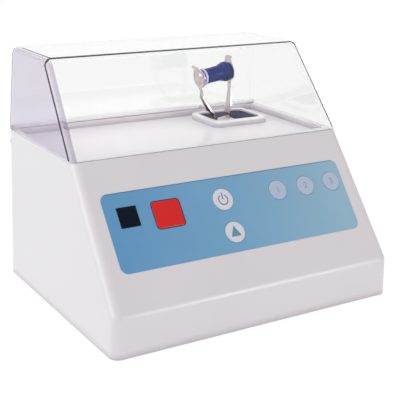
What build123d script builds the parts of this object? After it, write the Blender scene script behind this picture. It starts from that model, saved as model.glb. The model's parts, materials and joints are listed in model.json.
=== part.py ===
from build123d import *
import os
from math import atan2, cos, radians, sin, tan

# Dental amalgamator, millimetres. +Z up, front faces -Y, origin on the table under the middle.

# ---------------------------------------------------------------- driving dimensions
# housing
housing_width = 210.0          # across the bottom edge
housing_depth = 165.8
band_height = 26.2             # upright band under the sloping panel
slope_run = 60.1               # depth taken up by the sloping panel
rim_height = 104.0             # housing bottom edge to rim
side_draft = 1.57              # degrees
wall = 2.6
corner_radius = 6.0
knee_radius = 9.0
rim_edge_radius = 1.0
foot_proud = 2.0               # feet below the housing edge
gap = 0.3                      # everyday clearance between parts

# deck and spill collar
deck_drop = 4.3                # deck below the rim
side_rim = 6.0
front_rim = 7.0
rear_rim = 5.5
recess_radius = 5.0
opening_from_right = 46.85     # middle of the mixing opening, from the housing's right edge
opening_from_rear = 32.3
opening_width = 38.7
opening_depth = 30.0
opening_radius = 5.0
collar_wall = 4.0

# lid
lid_wall = 2.0
lid_height = 56.0
lid_slope_run = 46.0
lid_lean = 4.3                 # degrees, side walls
lid_side_inset = 0.2
lid_rear_overhang = 1.4
lid_edge_radius = 5.0
lid_gap = 0.4                  # lid edge above the rim
hinge_from_rear = 2.5
hinge_drop = 8.8               # hinge axis below the rim
hinge_pin_radius = 1.25
pin_head_radius = 2.2
hinge_bore_clearance = 0.05
lug_radius = 2.3
lug_inset = 2.35               # lug's outer face, inside the rim's edge
lug_width = 3.1
bar_height = 2.4
bar_depth = 4.4

# front panel, measured on the slope: x, and s up the slope from the knee
overlay_left_margin = 14.0     # from the housing's widest edge
overlay_right_margin = 15.0
overlay_low = 25.0
overlay_high = 76.0
overlay_radius = 5.0
overlay_thickness = 0.5
overlay_sink = 0.4
window_from_left = 41.8        # of the overlay
window_s = 57.6
window_width = 19.7
window_height = 17.8
window_radius = 2.0
window_clearance = 0.1
window_proud = 0.3
badge_from_left = 15.0
badge_s = 59.6
badge_size = 13.4
button_proud = 0.5
button_clearance = 0.25
power_key_x = -8.0
power_key_s = 60.7
power_key_radius = 7.3
start_key_x = -7.1
start_key_s = 38.1
start_key_radius = 7.0
preset_s = 60.9
preset_radius = 6.7
first_preset_from_right = 54.6  # of the overlay
second_preset_from_right = 31.8
third_preset_from_right = 9.8

# motor
shaft_end_from_opening = 8.45  # left of the opening's middle
shaft_from_rear = 32.8
shaft_below_rim = 49.0
shaft_radius = 4.0
running_clearance = 0.03
motor_radius = 27.0
motor_from_opening = 38.15     # motor's front face, left of the opening's middle
motor_to_inlet = 7.5            # room between the motor's rear and the inlet
can_wall = 2.5
front_bell_length = 6.0
rear_bell_length = 18.0
motor_bearing_radius = 9.5
motor_bearing_width = 6.0

# fork
hub_from_opening = 0.55        # left of the opening's middle
cant_angle = 8.0               # degrees between journal and shaft
rest_phase = 76.0              # degrees, where the photographed fork stopped
fork_bearing_bore = 6.0
fork_bearing_radius = 14.0
fork_bearing_width = 8.0
yoke_ring_radius = 19.0
yoke_ring_width = 9.0
yoke_top = 46.5
yoke_half_width = 7.5
yoke_half_depth = 5.5
arm_thickness = 0.8
arm_width = 6.0
arm_root_offset = 5.6
arm_root_depth = 15.0
capsule_height = 81.6          # capsule axis above the hub, along the fork
capsule_offset = -2.85
capsule_length = 23.4
capsule_radius = 5.65
flange_radius = 7.2
flange_width = 3.4
plunger_radius = 6.1
clip_clearance = 0.3
clip_radius = 7.4

# base, inlet and boards
base_thickness = 3.0
foot_radius = 7.0
inlet_from_side = 26.0         # from the housing's left edge
inlet_height = 48.0
inlet_flange_thickness = 2.2
inlet_flange_width = 31.0
inlet_flange_height = 52.0
inlet_body_width = 27.0
inlet_body_height = 36.0
inlet_body_depth = 20.0
board_thickness = 1.6
board_setback = 9.0

# ---------------------------------------------------------------- places worked out from them
front_y = -(housing_depth + inlet_flange_thickness) / 2
rear_y = front_y + housing_depth
bottom_z = foot_proud
rim_z = bottom_z + rim_height
deck_z = rim_z - deck_drop
ceiling_z = deck_z - wall
knee_z = bottom_z + band_height
slope_angle = atan2(rim_height - band_height, slope_run)
half_width = housing_width / 2
side_lean = tan(radians(side_draft))
rim_half_width = half_width - rim_height * side_lean
opening_y = rear_y - opening_from_rear
opening_x = half_width - opening_from_right
shaft_y = rear_y - shaft_from_rear
shaft_z = rim_z - shaft_below_rim
shaft_x_end = opening_x - shaft_end_from_opening
motor_front_x = opening_x - motor_from_opening
hub_x = opening_x - hub_from_opening
inlet_x = inlet_from_side - half_width
motor_rear_x = inlet_x + inlet_body_width / 2 + motor_to_inlet
can_length = motor_front_x - front_bell_length - rear_bell_length - motor_rear_x
hinge_y = rear_y - hinge_from_rear
hinge_z = rim_z - hinge_drop
lug_outer_x = rim_half_width - lug_inset
lug_inner_x = lug_outer_x - lug_width
lid_bottom_z = rim_z + lid_gap
lid_top_z = lid_bottom_z + lid_height
lid_front_y = front_y + slope_run
lid_rear_y = rear_y + lid_rear_overhang
lid_half_width = rim_half_width - lid_side_inset
base_top_z = bottom_z + gap + base_thickness
overlay_left = overlay_left_margin - half_width
overlay_right = half_width - overlay_right_margin
window_x = overlay_left + window_from_left
badge_x = overlay_left + badge_from_left
# name, x, s, radius
buttons = [
    ("power_button", power_key_x, power_key_s, power_key_radius),
    ("start_button", start_key_x, start_key_s, start_key_radius),
    ("preset_button_1", overlay_right - first_preset_from_right, preset_s, preset_radius),
    ("preset_button_2", overlay_right - second_preset_from_right, preset_s, preset_radius),
    ("preset_button_3", overlay_right - third_preset_from_right, preset_s, preset_radius),
]
panel = Plane(origin=(0, front_y, knee_z), x_dir=(1, 0, 0), z_dir=(0, -sin(slope_angle), cos(slope_angle)))

# The journal's axis stands at the cant angle to the shaft; the fork is turned the shortest way to it.
cant = radians(cant_angle)
phase = radians(rest_phase)
cant_axis = Vector(cos(cant), sin(cant) * cos(phase), sin(cant) * sin(phase))
tilt_axis = Axis((0, 0, 0), (0, -sin(phase), cos(phase)))
fork_up = Vector(0, 0, 1).rotate(tilt_axis, cant_angle)
hub = Vector(hub_x, shaft_y, shaft_z)
fork_plane = Plane(origin=hub, x_dir=cant_axis, z_dir=fork_up)

nodes = {}


def add(name, shape):
    """Keep a sub-part under its name."""
    nodes[name] = shape


def together(shapes):
    """Several separate solids as one sub-part."""
    return Compound(children=[solid for shape in shapes for solid in shape.solids()])


def box(x, y, z):
    """Box from three (low, high) spans."""
    size = [high - low for low, high in (x, y, z)]
    middle = [(low + high) / 2 for low, high in (x, y, z)]
    return Pos(*middle) * Box(*size)


def rod_x(radius, x_low, x_high, y, z):
    """Round bar along X."""
    return Pos((x_low + x_high) / 2, y, z) * Rot(0, 90, 0) * Cylinder(radius, x_high - x_low)


def rod_y(radius, y_low, y_high, x, z):
    """Round bar along Y."""
    return Pos(x, (y_low + y_high) / 2, z) * Rot(90, 0, 0) * Cylinder(radius, y_high - y_low)


def rod_z(radius, z_low, z_high, x, y):
    """Round bar along Z."""
    return Pos(x, y, (z_low + z_high) / 2) * Cylinder(radius, z_high - z_low)


def ring_x(outer, inner, x_low, x_high, y, z):
    """Ring about an axis along X."""
    return rod_x(outer, x_low, x_high, y, z) - rod_x(inner, x_low - 1, x_high + 1, y, z)


def round_box(width, depth, radius, x, y, z_low, z_high):
    """Upright block with rounded corners."""
    outline = Plane.XY.offset(z_low) * Pos(x, y) * RectangleRounded(width, depth, radius)
    return extrude(outline, z_high - z_low)


def on_panel(sketch, low, high):
    """Block standing on the sloping panel, from low to high along its normal."""
    return extrude(panel.offset(low) * sketch, high - low)


def panel_disc(x, s, radius, low, high):
    return on_panel(Pos(x, s) * Circle(radius), low, high)


def cut_profile(points, half_span):
    """Side outline (y, z) drawn out both ways along X."""
    return extrude(Plane.YZ * Polygon(*points, align=None), half_span, both=True)


def leaning_sides(low_half_width, z_low, z_high, lean):
    """Long block whose two side faces lean inwards by lean (run over rise)."""
    top = low_half_width - (z_high - z_low) * lean
    points = [(-low_half_width, z_low), (low_half_width, z_low), (top, z_high), (-top, z_high)]
    return extrude(Plane.XZ * Polygon(*points, align=None), housing_depth, both=True)


# ---------------------------------------------------------------- housing
def housing_block(inset, z_low, z_high):
    """The housing's wedge shape, moved inwards by inset."""
    shift = inset / sin(slope_angle)

    def slope_y(z):
        return front_y + shift + (z - knee_z) / tan(slope_angle)

    front = front_y + inset
    knee = knee_z + (inset - shift) * tan(slope_angle)
    rear = rear_y - inset
    profile = [(front, z_low), (front, knee), (slope_y(z_high), z_high), (rear, z_high), (rear, z_low)]
    low_half = half_width - inset - (z_low - bottom_z) * side_lean
    return cut_profile(profile, housing_width) & leaning_sides(low_half, z_low, z_high, side_lean)


def rounded_wedge(inset, z_low, z_high, side_radius, front_radius):
    """Wedge with its knee and its upright corners rounded."""
    block = housing_block(inset, z_low, z_high)
    knee_edge = block.edges().filter_by(Axis.X).sort_by(Axis.Y)[:2].sort_by(Axis.Z)[-1]
    block = fillet(knee_edge, front_radius)
    sides = [
        edge
        for edge in block.edges()
        if abs(edge.center().X) > rim_half_width - 15
        and edge.bounding_box().size.Z > 2
    ]
    return fillet(sides, side_radius)


def housing_shell():
    outer = rounded_wedge(0, bottom_z, rim_z, corner_radius, knee_radius)
    top_edges = outer.faces().sort_by(Axis.Z)[-1].edges()
    outer = fillet(top_edges, rim_edge_radius)
    inner_side = max(corner_radius - wall, 1.0)
    shell = outer - rounded_wedge(wall, bottom_z - 1, ceiling_z, inner_side, knee_radius)

    recess_front = front_y + slope_run + front_rim
    recess_rear = rear_y - rear_rim
    recess_width = 2 * (rim_half_width - side_rim)
    recess_y = (recess_front + recess_rear) / 2
    recess_depth = recess_rear - recess_front
    shell -= round_box(recess_width, recess_depth, recess_radius, 0, recess_y, deck_z, rim_z + 5)
    collar = round_box(
        opening_width + 2 * collar_wall, opening_depth + 2 * collar_wall, opening_radius + 1,
        opening_x, opening_y, deck_z - 1, rim_z,
    )
    lip_edges = collar.faces().sort_by(Axis.Z)[-1].edges()
    collar = fillet(lip_edges, 1.2)
    shell += collar
    shell -= round_box(
        opening_width, opening_depth, opening_radius, opening_x, opening_y, ceiling_z - 1, rim_z + 1
    )

    # bosses: base screws in the corners, tub under the deck, control board behind the panel
    for x, y in base_screw_places:
        boss = rod_z(base_boss_radius, base_top_z + gap, base_top_z + base_boss_height, x, y)
        rib_x = x + (base_boss_radius + 1) * (1 if x > 0 else -1)
        rib_span = sorted((x, rib_x))
        boss += box(rib_span, (y - 2, y + 2), (base_top_z + gap, base_top_z + base_boss_height))
        shell += boss & housing_block(wall / 2, bottom_z, ceiling_z)
        shell -= rod_z(base_screw_radius + 0.05, base_top_z, base_top_z + base_boss_height - 2, x, y)
    for x, y in tub_screw_places:
        shell += rod_z(tub_boss_radius, tub_flange_top, ceiling_z + 0.5, x, y)
        shell -= rod_z(small_screw_radius + 0.05, tub_flange_top - 1, ceiling_z - 0.5, x, y)
    for x, s in board_screw_places:
        shell += panel_disc(x, s, board_boss_radius, -board_setback, -wall + 0.5)
        shell -= panel_disc(x, s, small_screw_radius + 0.05, -board_setback - 1, -wall - 0.5)

    # front panel: shallow seat for the overlay, then its openings
    shell -= on_panel(overlay_outline(), -overlay_sink, 5)
    shell -= on_panel(window_outline(0), -20, 5)
    for name, x, s, radius in buttons:
        shell -= panel_disc(x, s, radius + button_clearance, -wall - 2, 5)

    # rear corners: hinge seats, open behind, with the pin's boss beside each
    for side in (-1, 1):
        inner = sorted((side * (lug_inner_x - 11), side * (lug_inner_x - gap)))
        boss = box(inner, (hinge_y - 6, rear_y - wall / 2), (hinge_z - 6, ceiling_z + 0.5))
        skin = sorted((side * (lug_inner_x - gap), side * (half_width - wall)))
        floor = box(skin, (hinge_y - 6, rear_y - wall / 2), (hinge_z - 7, hinge_z - 4))
        front = box(skin, (hinge_y - 6, hinge_y - lug_radius - gap), (hinge_z - 7, ceiling_z + 0.5))
        shell += (boss + floor + front) & housing_block(wall / 2, bottom_z, rim_z)
        slot = sorted((side * (lug_inner_x - gap), side * (lug_outer_x + gap)))
        shell -= box(slot, (hinge_y - lug_radius - gap, rear_y + 5), (hinge_z - 4.2, rim_z + 5))
        window = sorted((side * (lug_outer_x - 1), side * (half_width + 1)))
        shell -= box(window, (hinge_y - lug_radius, rear_y + 5), (hinge_z - 3.2, hinge_z + 2.8))
        shell -= rod_x(hinge_pin_radius + 0.02, *sorted((side * (lug_inner_x - 9), side * lug_outer_x)),
                       hinge_y, hinge_z)

    # rear wall: inlet cut-out and its two screw holes
    shell -= box(
        (inlet_x - inlet_body_width / 2 - gap, inlet_x + inlet_body_width / 2 + gap),
        (rear_y - 2 * wall, rear_y + 1),
        (inlet_z - inlet_body_height / 2 - gap, inlet_z + inlet_body_height / 2 + gap),
    )
    for z in inlet_screw_heights:
        shell -= rod_y(small_screw_radius + 0.05, rear_y - 2 * wall, rear_y + 1, inlet_x, z)
    return shell


def overlay_outline():
    middle = Pos((overlay_left + overlay_right) / 2, (overlay_low + overlay_high) / 2)
    return middle * RectangleRounded(overlay_right - overlay_left, overlay_high - overlay_low, overlay_radius)


def window_outline(clearance):
    """The display window's outline on the panel, moved inwards by clearance."""
    width = window_width - 2 * clearance
    height = window_height - 2 * clearance
    return Pos(window_x, window_s) * RectangleRounded(width, height, window_radius - clearance)


base_boss_radius = 4.5
base_boss_height = 20.0
base_screw_radius = 1.5
small_screw_radius = 1.2
base_screw_x = half_width - 8.5
base_screw_places = [(x, y) for x in (-base_screw_x, base_screw_x) for y in (front_y + 12, rear_y - 12)]
tub_half_width = 28.0
tub_half_depth = 22.0
tub_wall = 1.6
tub_x = opening_x - 1.0
tub_floor_z = bottom_z + 10.4
tub_flange_top = ceiling_z - 6.0
tub_flange = 2.0
tub_ear = 6.0
tub_boss_radius = 3.0
tub_screw_reach = tub_half_width + tub_wall + tub_boss_radius + gap
tub_screw_places = [(tub_x + i * tub_screw_reach, shaft_y + j * 15) for i in (-1, 1) for j in (-1, 1)]
board_boss_radius = 3.0
board_screw_x = half_width - 17.0
board_screw_s = (overlay_low + 5, overlay_high - 3)
board_screw_places = [(x, s) for x in (-board_screw_x, board_screw_x) for s in board_screw_s]
inlet_z = bottom_z + inlet_height
inlet_screw_heights = [inlet_z - 21.5, inlet_z + 21.5]

add("housing_shell", housing_shell())


def base_plate():
    plate = housing_block(wall + gap, bottom_z + gap, base_top_z)
    plate = fillet(plate.edges().filter_by(lambda e: e.bounding_box().size.Z > 2.5
                                           and e.bounding_box().size.X < 1), 3)
    for x, y in base_screw_places:
        plate -= rod_z(base_screw_radius + 0.3, 0, base_top_z + 1, x, y)
        plate -= rod_z(3.2, 0, bottom_z + gap + 1.8, x, y)
    for x, y in foot_places:
        plate -= rod_z(foot_stem_radius + 0.05, 0, base_top_z + 1, x, y)
    for x, y in mount_places:
        plate += rod_z(6.0, base_top_z - 0.5, mount_seat_z, x, y)
        plate -= rod_z(base_screw_radius + 0.05, base_top_z - 2, mount_seat_z + 1, x, y)
    for x, y in power_post_places:
        plate += rod_z(2.5, base_top_z - 0.5, power_board_z, x, y)
        plate += rod_z(1.2, power_board_z - 0.5, power_board_z + board_thickness + 1.4, x, y)
    return plate


foot_stem_radius = 2.5
foot_from_side = 25.0
foot_from_end = 22.0
foot_x = half_width - foot_from_side
foot_places = [(x, y) for x in (-foot_x, foot_x) for y in (front_y + foot_from_end, rear_y - foot_from_end)]
cradle_x = (motor_rear_x + 22.0, motor_front_x - 8.0)
cradle_half_depth = 24.0
mount_seat_z = base_top_z + 2.6
mount_height = 5.0
mount_places = [(x, shaft_y + j * (cradle_half_depth - 5)) for x in cradle_x for j in (-1, 1)]
power_board_z = base_top_z + 5.0
core_width = 48.0
core_height = 40.0
core_stack = 18.0
core_limb = 8.0
core_window = 8.0
winding_depth = 40.0
winding_clearance = 0.3
transformer_x = 39.0 - half_width
transformer_y = front_y + 62.0
power_board_x = (transformer_x + core_width / 2 + 6, half_width - 39.0)
power_board_y = (front_y + 16, front_y + 70)
power_post_places = [(x, y) for x in (power_board_x[0] + 5, power_board_x[1] - 5)
                     for y in (power_board_y[0] + 5, power_board_y[1] - 5)]

add("base_plate", base_plate())


def feet():
    """Rubber feet, each pushed into the base plate by its stem."""
    shapes = []
    for x, y in foot_places:
        foot = rod_z(foot_radius, 0, bottom_z + gap, x, y)
        foot = fillet(foot.faces().sort_by(Axis.Z)[0].edges(), 0.6)
        stem = rod_z(foot_stem_radius, bottom_z, base_top_z + 0.4, x, y)
        head = rod_z(foot_stem_radius + 0.9, base_top_z + 0.05, base_top_z + 1.6, x, y)
        shapes.append(foot + stem + head)
    return together(shapes)


add("rubber_feet", feet())


def pan_screw(x, y, head_z, shank_radius, head_radius, head_height, reach, upward=True):
    """Screw along Z: the head's seat is at head_z and the shank goes up (or down) from it."""
    way = 1 if upward else -1
    shank = rod_z(shank_radius, *sorted((head_z - way * 0.2, head_z + way * reach)), x, y)
    head = rod_z(head_radius, *sorted((head_z, head_z - way * head_height)), x, y)
    recess_span = sorted((head_z - way * head_height * 2, head_z - way * head_height * 0.4))
    recess = rod_z(head_radius * 0.35, *recess_span, x, y)
    return shank + head - recess


screw_seat_z = bottom_z + gap + 1.8
add("base_screws", together([
    pan_screw(x, y, screw_seat_z, base_screw_radius, 2.9, 1.5, 14) for x, y in base_screw_places
]))


# ---------------------------------------------------------------- spill tub under the opening
def chamber_tub():
    """Dark tub that hangs from the deck and catches what a split capsule would lose."""
    top = ceiling_z - 0.1
    outer = round_box(2 * (tub_half_width + tub_wall), 2 * (tub_half_depth + tub_wall), 6,
                      tub_x, shaft_y, tub_floor_z, top)
    for x, y in tub_screw_places:
        reach = sorted((x, tub_x + (tub_half_width if x > tub_x else -tub_half_width)))
        ear_z = (tub_flange_top - tub_flange, tub_flange_top - 0.05)
        ear = rod_z(tub_ear / 2, *ear_z, x, y)
        ear += box(reach, (y - tub_ear / 2, y + tub_ear / 2), ear_z)
        outer += ear
    inner = round_box(2 * tub_half_width, 2 * tub_half_depth, 6 - tub_wall,
                      tub_x, shaft_y, tub_floor_z + tub_wall, top + 5)
    tub = outer - inner
    for x, y in tub_screw_places:
        tub -= rod_z(small_screw_radius + 0.2, tub_flange_top - 5, tub_flange_top + 5, x, y)
    left = tub_x - tub_half_width - tub_wall
    tub -= rod_x(shaft_radius + 3, left - 1, left + tub_wall + 1, shaft_y, shaft_z)
    tub += rod_z(4, tub_floor_z + tub_wall - 0.5, spring_low_z - 0.05, tail_x, shaft_y)
    return tub


tail_drop = 26.0
tail_x = (hub - fork_up * tail_drop).X
spring_low_z = tub_floor_z + tub_wall + 2.0
spring_high_z = (hub - fork_up * tail_drop).Z - 0.6
spring_radius = 3.0
spring_wire = 0.9

add("chamber_tub", chamber_tub())
tub_screw_seat = tub_flange_top - tub_flange - 0.05
add("tub_screws", together([
    pan_screw(x, y, tub_screw_seat, small_screw_radius, 2.3, 1.4, 6.5) for x, y in tub_screw_places
]))
add("tail_spring", rod_z(spring_radius, spring_low_z, spring_high_z, tail_x, shaft_y)
    - rod_z(spring_radius - spring_wire, spring_low_z - 1, spring_high_z + 1, tail_x, shaft_y))


# ---------------------------------------------------------------- motor
can_front = motor_front_x - front_bell_length
can_rear = can_front - can_length
bell_rear = can_rear - rear_bell_length
rear_bearing_x = bell_rear + 1.0
front_bearing_x = motor_front_x - motor_bearing_width - 1.0
brush_x = can_rear - 6.0
commutator_radius = 10.0
core_radius = 20.0
core_span = (can_rear + 14, can_front - 10)

add("motor_can", ring_x(motor_radius, motor_radius - can_wall, can_rear, can_front, shaft_y, shaft_z))


def front_bell():
    bell = rod_x(motor_radius, can_front, motor_front_x, shaft_y, shaft_z)
    bell += rod_x(motor_bearing_radius + 3, front_bearing_x - 1, motor_front_x + 2, shaft_y, shaft_z)
    bell -= rod_x(motor_bearing_radius + 0.02, front_bearing_x, motor_front_x + 3, shaft_y, shaft_z)
    bell -= rod_x(shaft_radius + 1.5, front_bearing_x - 3, motor_front_x + 3, shaft_y, shaft_z)
    return bell


def rear_bell():
    bell = ring_x(motor_radius, motor_radius - can_wall, bell_rear, can_rear, shaft_y, shaft_z)
    bell += rod_x(motor_radius, bell_rear, bell_rear + 3, shaft_y, shaft_z)
    bell += rod_x(motor_bearing_radius + 3, bell_rear, rear_bearing_x + motor_bearing_width, shaft_y, shaft_z)
    bell -= rod_x(motor_bearing_radius + 0.02, rear_bearing_x, rear_bearing_x + 20, shaft_y, shaft_z)
    bell -= rod_x(shaft_radius + 1.5, bell_rear - 1, bell_rear + 20, shaft_y, shaft_z)
    for side in (-1, 1):
        span = sorted((side * (motor_radius - 5), side * (motor_radius + 5)))
        reach = [shaft_y + v for v in span]
        bell -= box((brush_x - 3.1, brush_x + 3.1), reach, (shaft_z - 2.6, shaft_z + 2.6))
    return bell


add("motor_front_bell", front_bell())
add("motor_rear_bell", rear_bell())


def magnets():
    """Two field magnets lining the can."""
    span = (core_span[0] - 3, core_span[1] + 3)
    tube = ring_x(motor_radius - can_wall - 0.1, core_radius + 0.8, *span, shaft_y, shaft_z)
    slots = box((core_span[0] - 9, core_span[1] + 9), (shaft_y - 9, shaft_y + 9),
                (shaft_z - 2 * motor_radius, shaft_z + 2 * motor_radius))
    return together([tube - slots])


def motor_bearing(x_low):
    return ring_x(motor_bearing_radius, shaft_radius + running_clearance, x_low, x_low + motor_bearing_width,
                  shaft_y, shaft_z)


def brushes():
    shapes = []
    for side in (-1, 1):
        span = sorted((side * (commutator_radius + 0.15), side * (motor_radius - 0.2)))
        reach = [shaft_y + v for v in span]
        shapes.append(box((brush_x - 3, brush_x + 3), reach, (shaft_z - 2.5, shaft_z + 2.5)))
    return together(shapes)


add("motor_magnets", magnets())
add("motor_bearings", together([motor_bearing(rear_bearing_x + 0.05), motor_bearing(front_bearing_x + 0.05)]))
add("motor_brushes", brushes())

saddle_thickness = 4.0
saddle_clearance = 0.1
cradle_low = mount_seat_z + mount_height
cradle_plate = 3.0
strap_thickness = 1.2


def motor_cradle():
    """Plate with two saddles that carry the motor."""
    low_x = cradle_x[0] - 7
    high_x = min(cradle_x[1] + 7, motor_front_x - 1)
    cradle = box((low_x, high_x), (shaft_y - cradle_half_depth, shaft_y + cradle_half_depth),
                 (cradle_low, cradle_low + cradle_plate))
    for x in saddle_places:
        block = box((x - saddle_thickness / 2, x + saddle_thickness / 2),
                    (shaft_y - cradle_half_depth, shaft_y + cradle_half_depth), (cradle_low, shaft_z - 12))
        cradle += block
    cradle -= rod_x(motor_radius + saddle_clearance, low_x - 5, high_x + 5, shaft_y, shaft_z)
    for x, y in mount_places:
        cradle -= rod_z(base_screw_radius + 0.3, cradle_low - 1, cradle_low + cradle_plate + 1, x, y)
    return cradle


saddle_places = (cradle_x[0] + 10, cradle_x[1] - 10)
strap_width = 8.0


def motor_straps():
    """Bands over the motor, with feet on the saddles' shoulders."""
    shapes = []
    inner = motor_radius + saddle_clearance
    foot_z = shaft_z - 12
    for x in saddle_places:
        span = (x - strap_width / 2, x + strap_width / 2)
        band = ring_x(inner + strap_thickness, inner, *span, shaft_y, shaft_z)
        around = (shaft_y - 2 * inner, shaft_y + 2 * inner)
        band -= box((x - 10, x + 10), around, (shaft_z - 2 * inner, foot_z + 0.05))
        shapes.append(band)
    return together(shapes)


add("motor_cradle", motor_cradle())
add("motor_straps", motor_straps())
add("vibration_mounts", together([
    rod_z(5.0, mount_seat_z + 0.02, cradle_low - 0.02, x, y)
    - rod_z(base_screw_radius + 0.1, mount_seat_z - 1, cradle_low + 1, x, y) for x, y in mount_places
]))
add("cradle_screws", together([
    pan_screw(x, y, cradle_low + cradle_plate + 0.02, base_screw_radius, 2.9, 1.6,
              cradle_plate + mount_height + 4, upward=False) for x, y in mount_places
]))

# ---------------------------------------------------------------- rotor and canted journal
add("motor_shaft", rod_x(shaft_radius, bell_rear + 0.5, shaft_x_end, shaft_y, shaft_z))
add("armature_core", ring_x(core_radius, shaft_radius + 0.02, *core_span, shaft_y, shaft_z))
add("armature_windings", together([
    ring_x(core_radius - 3, shaft_radius + 2, core_span[0] - 8, core_span[0] - 0.05, shaft_y, shaft_z),
    ring_x(core_radius - 3, shaft_radius + 2, core_span[1] + 0.05, core_span[1] + 7, shaft_y, shaft_z),
]))
add("commutator", ring_x(commutator_radius, shaft_radius + 0.02, can_rear - 10, can_rear - 1,
                         shaft_y, shaft_z))


def along_fork(radius, low, high):
    """Round bar on the canted axis, measured from the hub."""
    return fork_plane.location * Pos((low + high) / 2, 0, 0) * Rot(0, 90, 0) * Cylinder(radius, high - low)


journal_radius = fork_bearing_bore - running_clearance
bush_radius = 9.0
bush_rear_x = motor_front_x + 17.0
shoulder = fork_bearing_width / 2 + 0.3


def canted_bush():
    """Bush on the shaft's end with a journal turned at the cant angle."""
    bush = rod_x(bush_radius, bush_rear_x, shaft_x_end + 2, shaft_y, shaft_z)
    bush += along_fork(fork_bearing_bore + 2, -shoulder - 3, -shoulder)
    bush += along_fork(journal_radius, -shoulder - 2, shoulder - 0.2)
    bush -= rod_x(shaft_radius + 0.02, bush_rear_x - 1, shaft_x_end + 0.1, shaft_y, shaft_z)
    bush -= along_fork(2.0, -shoulder + 1.0, shoulder + 1)
    return bush


def retaining_screw():
    """Cap screw with a wide head that keeps the bearing on its journal."""
    screw = along_fork(1.95, -shoulder + 1.5, shoulder + 0.5)
    screw += along_fork(fork_bearing_bore + 1.5, shoulder, shoulder + 1.0)
    screw += along_fork(3.4, shoulder + 0.8, shoulder + 3.8)
    return screw - along_fork(1.5, shoulder + 2.0, shoulder + 5)


add("canted_bush", canted_bush())
add("retaining_screw", retaining_screw())


# ---------------------------------------------------------------- fork
def fork_box(u, v, w):
    """Box in the fork's own frame: u along the capsule, v across, w up."""
    return fork_plane.location * box(u, v, w)


def bearing():
    return (along_fork(fork_bearing_radius - 0.02, -fork_bearing_width / 2, fork_bearing_width / 2)
            - along_fork(fork_bearing_bore, -20, 20))


def fork_yoke():
    """Moulded yoke: a ring round the bearing, a neck, and a head with a slot for each arm."""
    half_ring = yoke_ring_width / 2
    yoke = along_fork(yoke_ring_radius, -half_ring, half_ring)
    yoke += fork_box((-half_ring, half_ring), (-7, 7), (fork_bearing_radius + 1, 32))
    head_low = yoke_top - arm_root_depth - 3
    yoke += fork_box((-yoke_half_width, yoke_half_width), (-yoke_half_depth, yoke_half_depth),
                     (head_low, yoke_top))
    yoke += fork_box((-3, 3), (-3, 3), (-tail_drop, -fork_bearing_radius - 1))
    yoke -= along_fork(fork_bearing_radius, -20, 20)
    for side in (-1, 1):
        middle = side * arm_root_offset
        slot = (middle - arm_thickness / 2 - 0.05, middle + arm_thickness / 2 + 0.05)
        half = arm_width / 2 + 0.05
        yoke -= fork_box(slot, (-half, half), (yoke_top - arm_root_depth, yoke_top + 1))
    for w in arm_screw_heights:
        yoke -= fork_plane.location * rod_x(small_screw_radius + 0.05, -20, 20, 0, w)
    return yoke


arm_screw_heights = (yoke_top - arm_root_depth + 3.0, yoke_top - arm_root_depth + 8.0)


def arm_screws():
    """Two screws a side that clamp the arms in the yoke's slots."""
    shapes = []
    for side in (-1, 1):
        for w in arm_screw_heights:
            seat = side * (yoke_half_width + 0.02)
            shank = rod_x(small_screw_radius, *sorted((side * 1.0, seat + side * 0.5)), 0, w)
            head = rod_x(2.1, *sorted((seat, seat + side * 1.3)), 0, w)
            slot = box(sorted((seat + side * 0.8, seat + side * 3)), (-3, 3), (w - 0.3, w + 0.3))
            shapes.append(fork_plane.location * (shank + head - slot))
    return together(shapes)


def strip(points, width):
    """Sheet-metal strip: a folded line (u, w), given its thickness and width."""
    spots = [Vector(u, w) for u, w in points]
    runs = [(end - start).normalized() for start, end in zip(spots, spots[1:])]
    one_side = []
    other_side = []
    for spot, before, after in zip(spots, runs[:1] + runs, runs + runs[-1:]):
        middle = (before + after).normalized()
        normal = Vector(-middle.Y, middle.X) * (arm_thickness / 2 / middle.dot(before))
        one_side.append(spot + normal)
        other_side.append(spot - normal)
    outline = [(spot.X, spot.Y) for spot in one_side + other_side[::-1]]
    return extrude(Plane.XZ * Polygon(*outline, align=None), width / 2, both=True)


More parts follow.
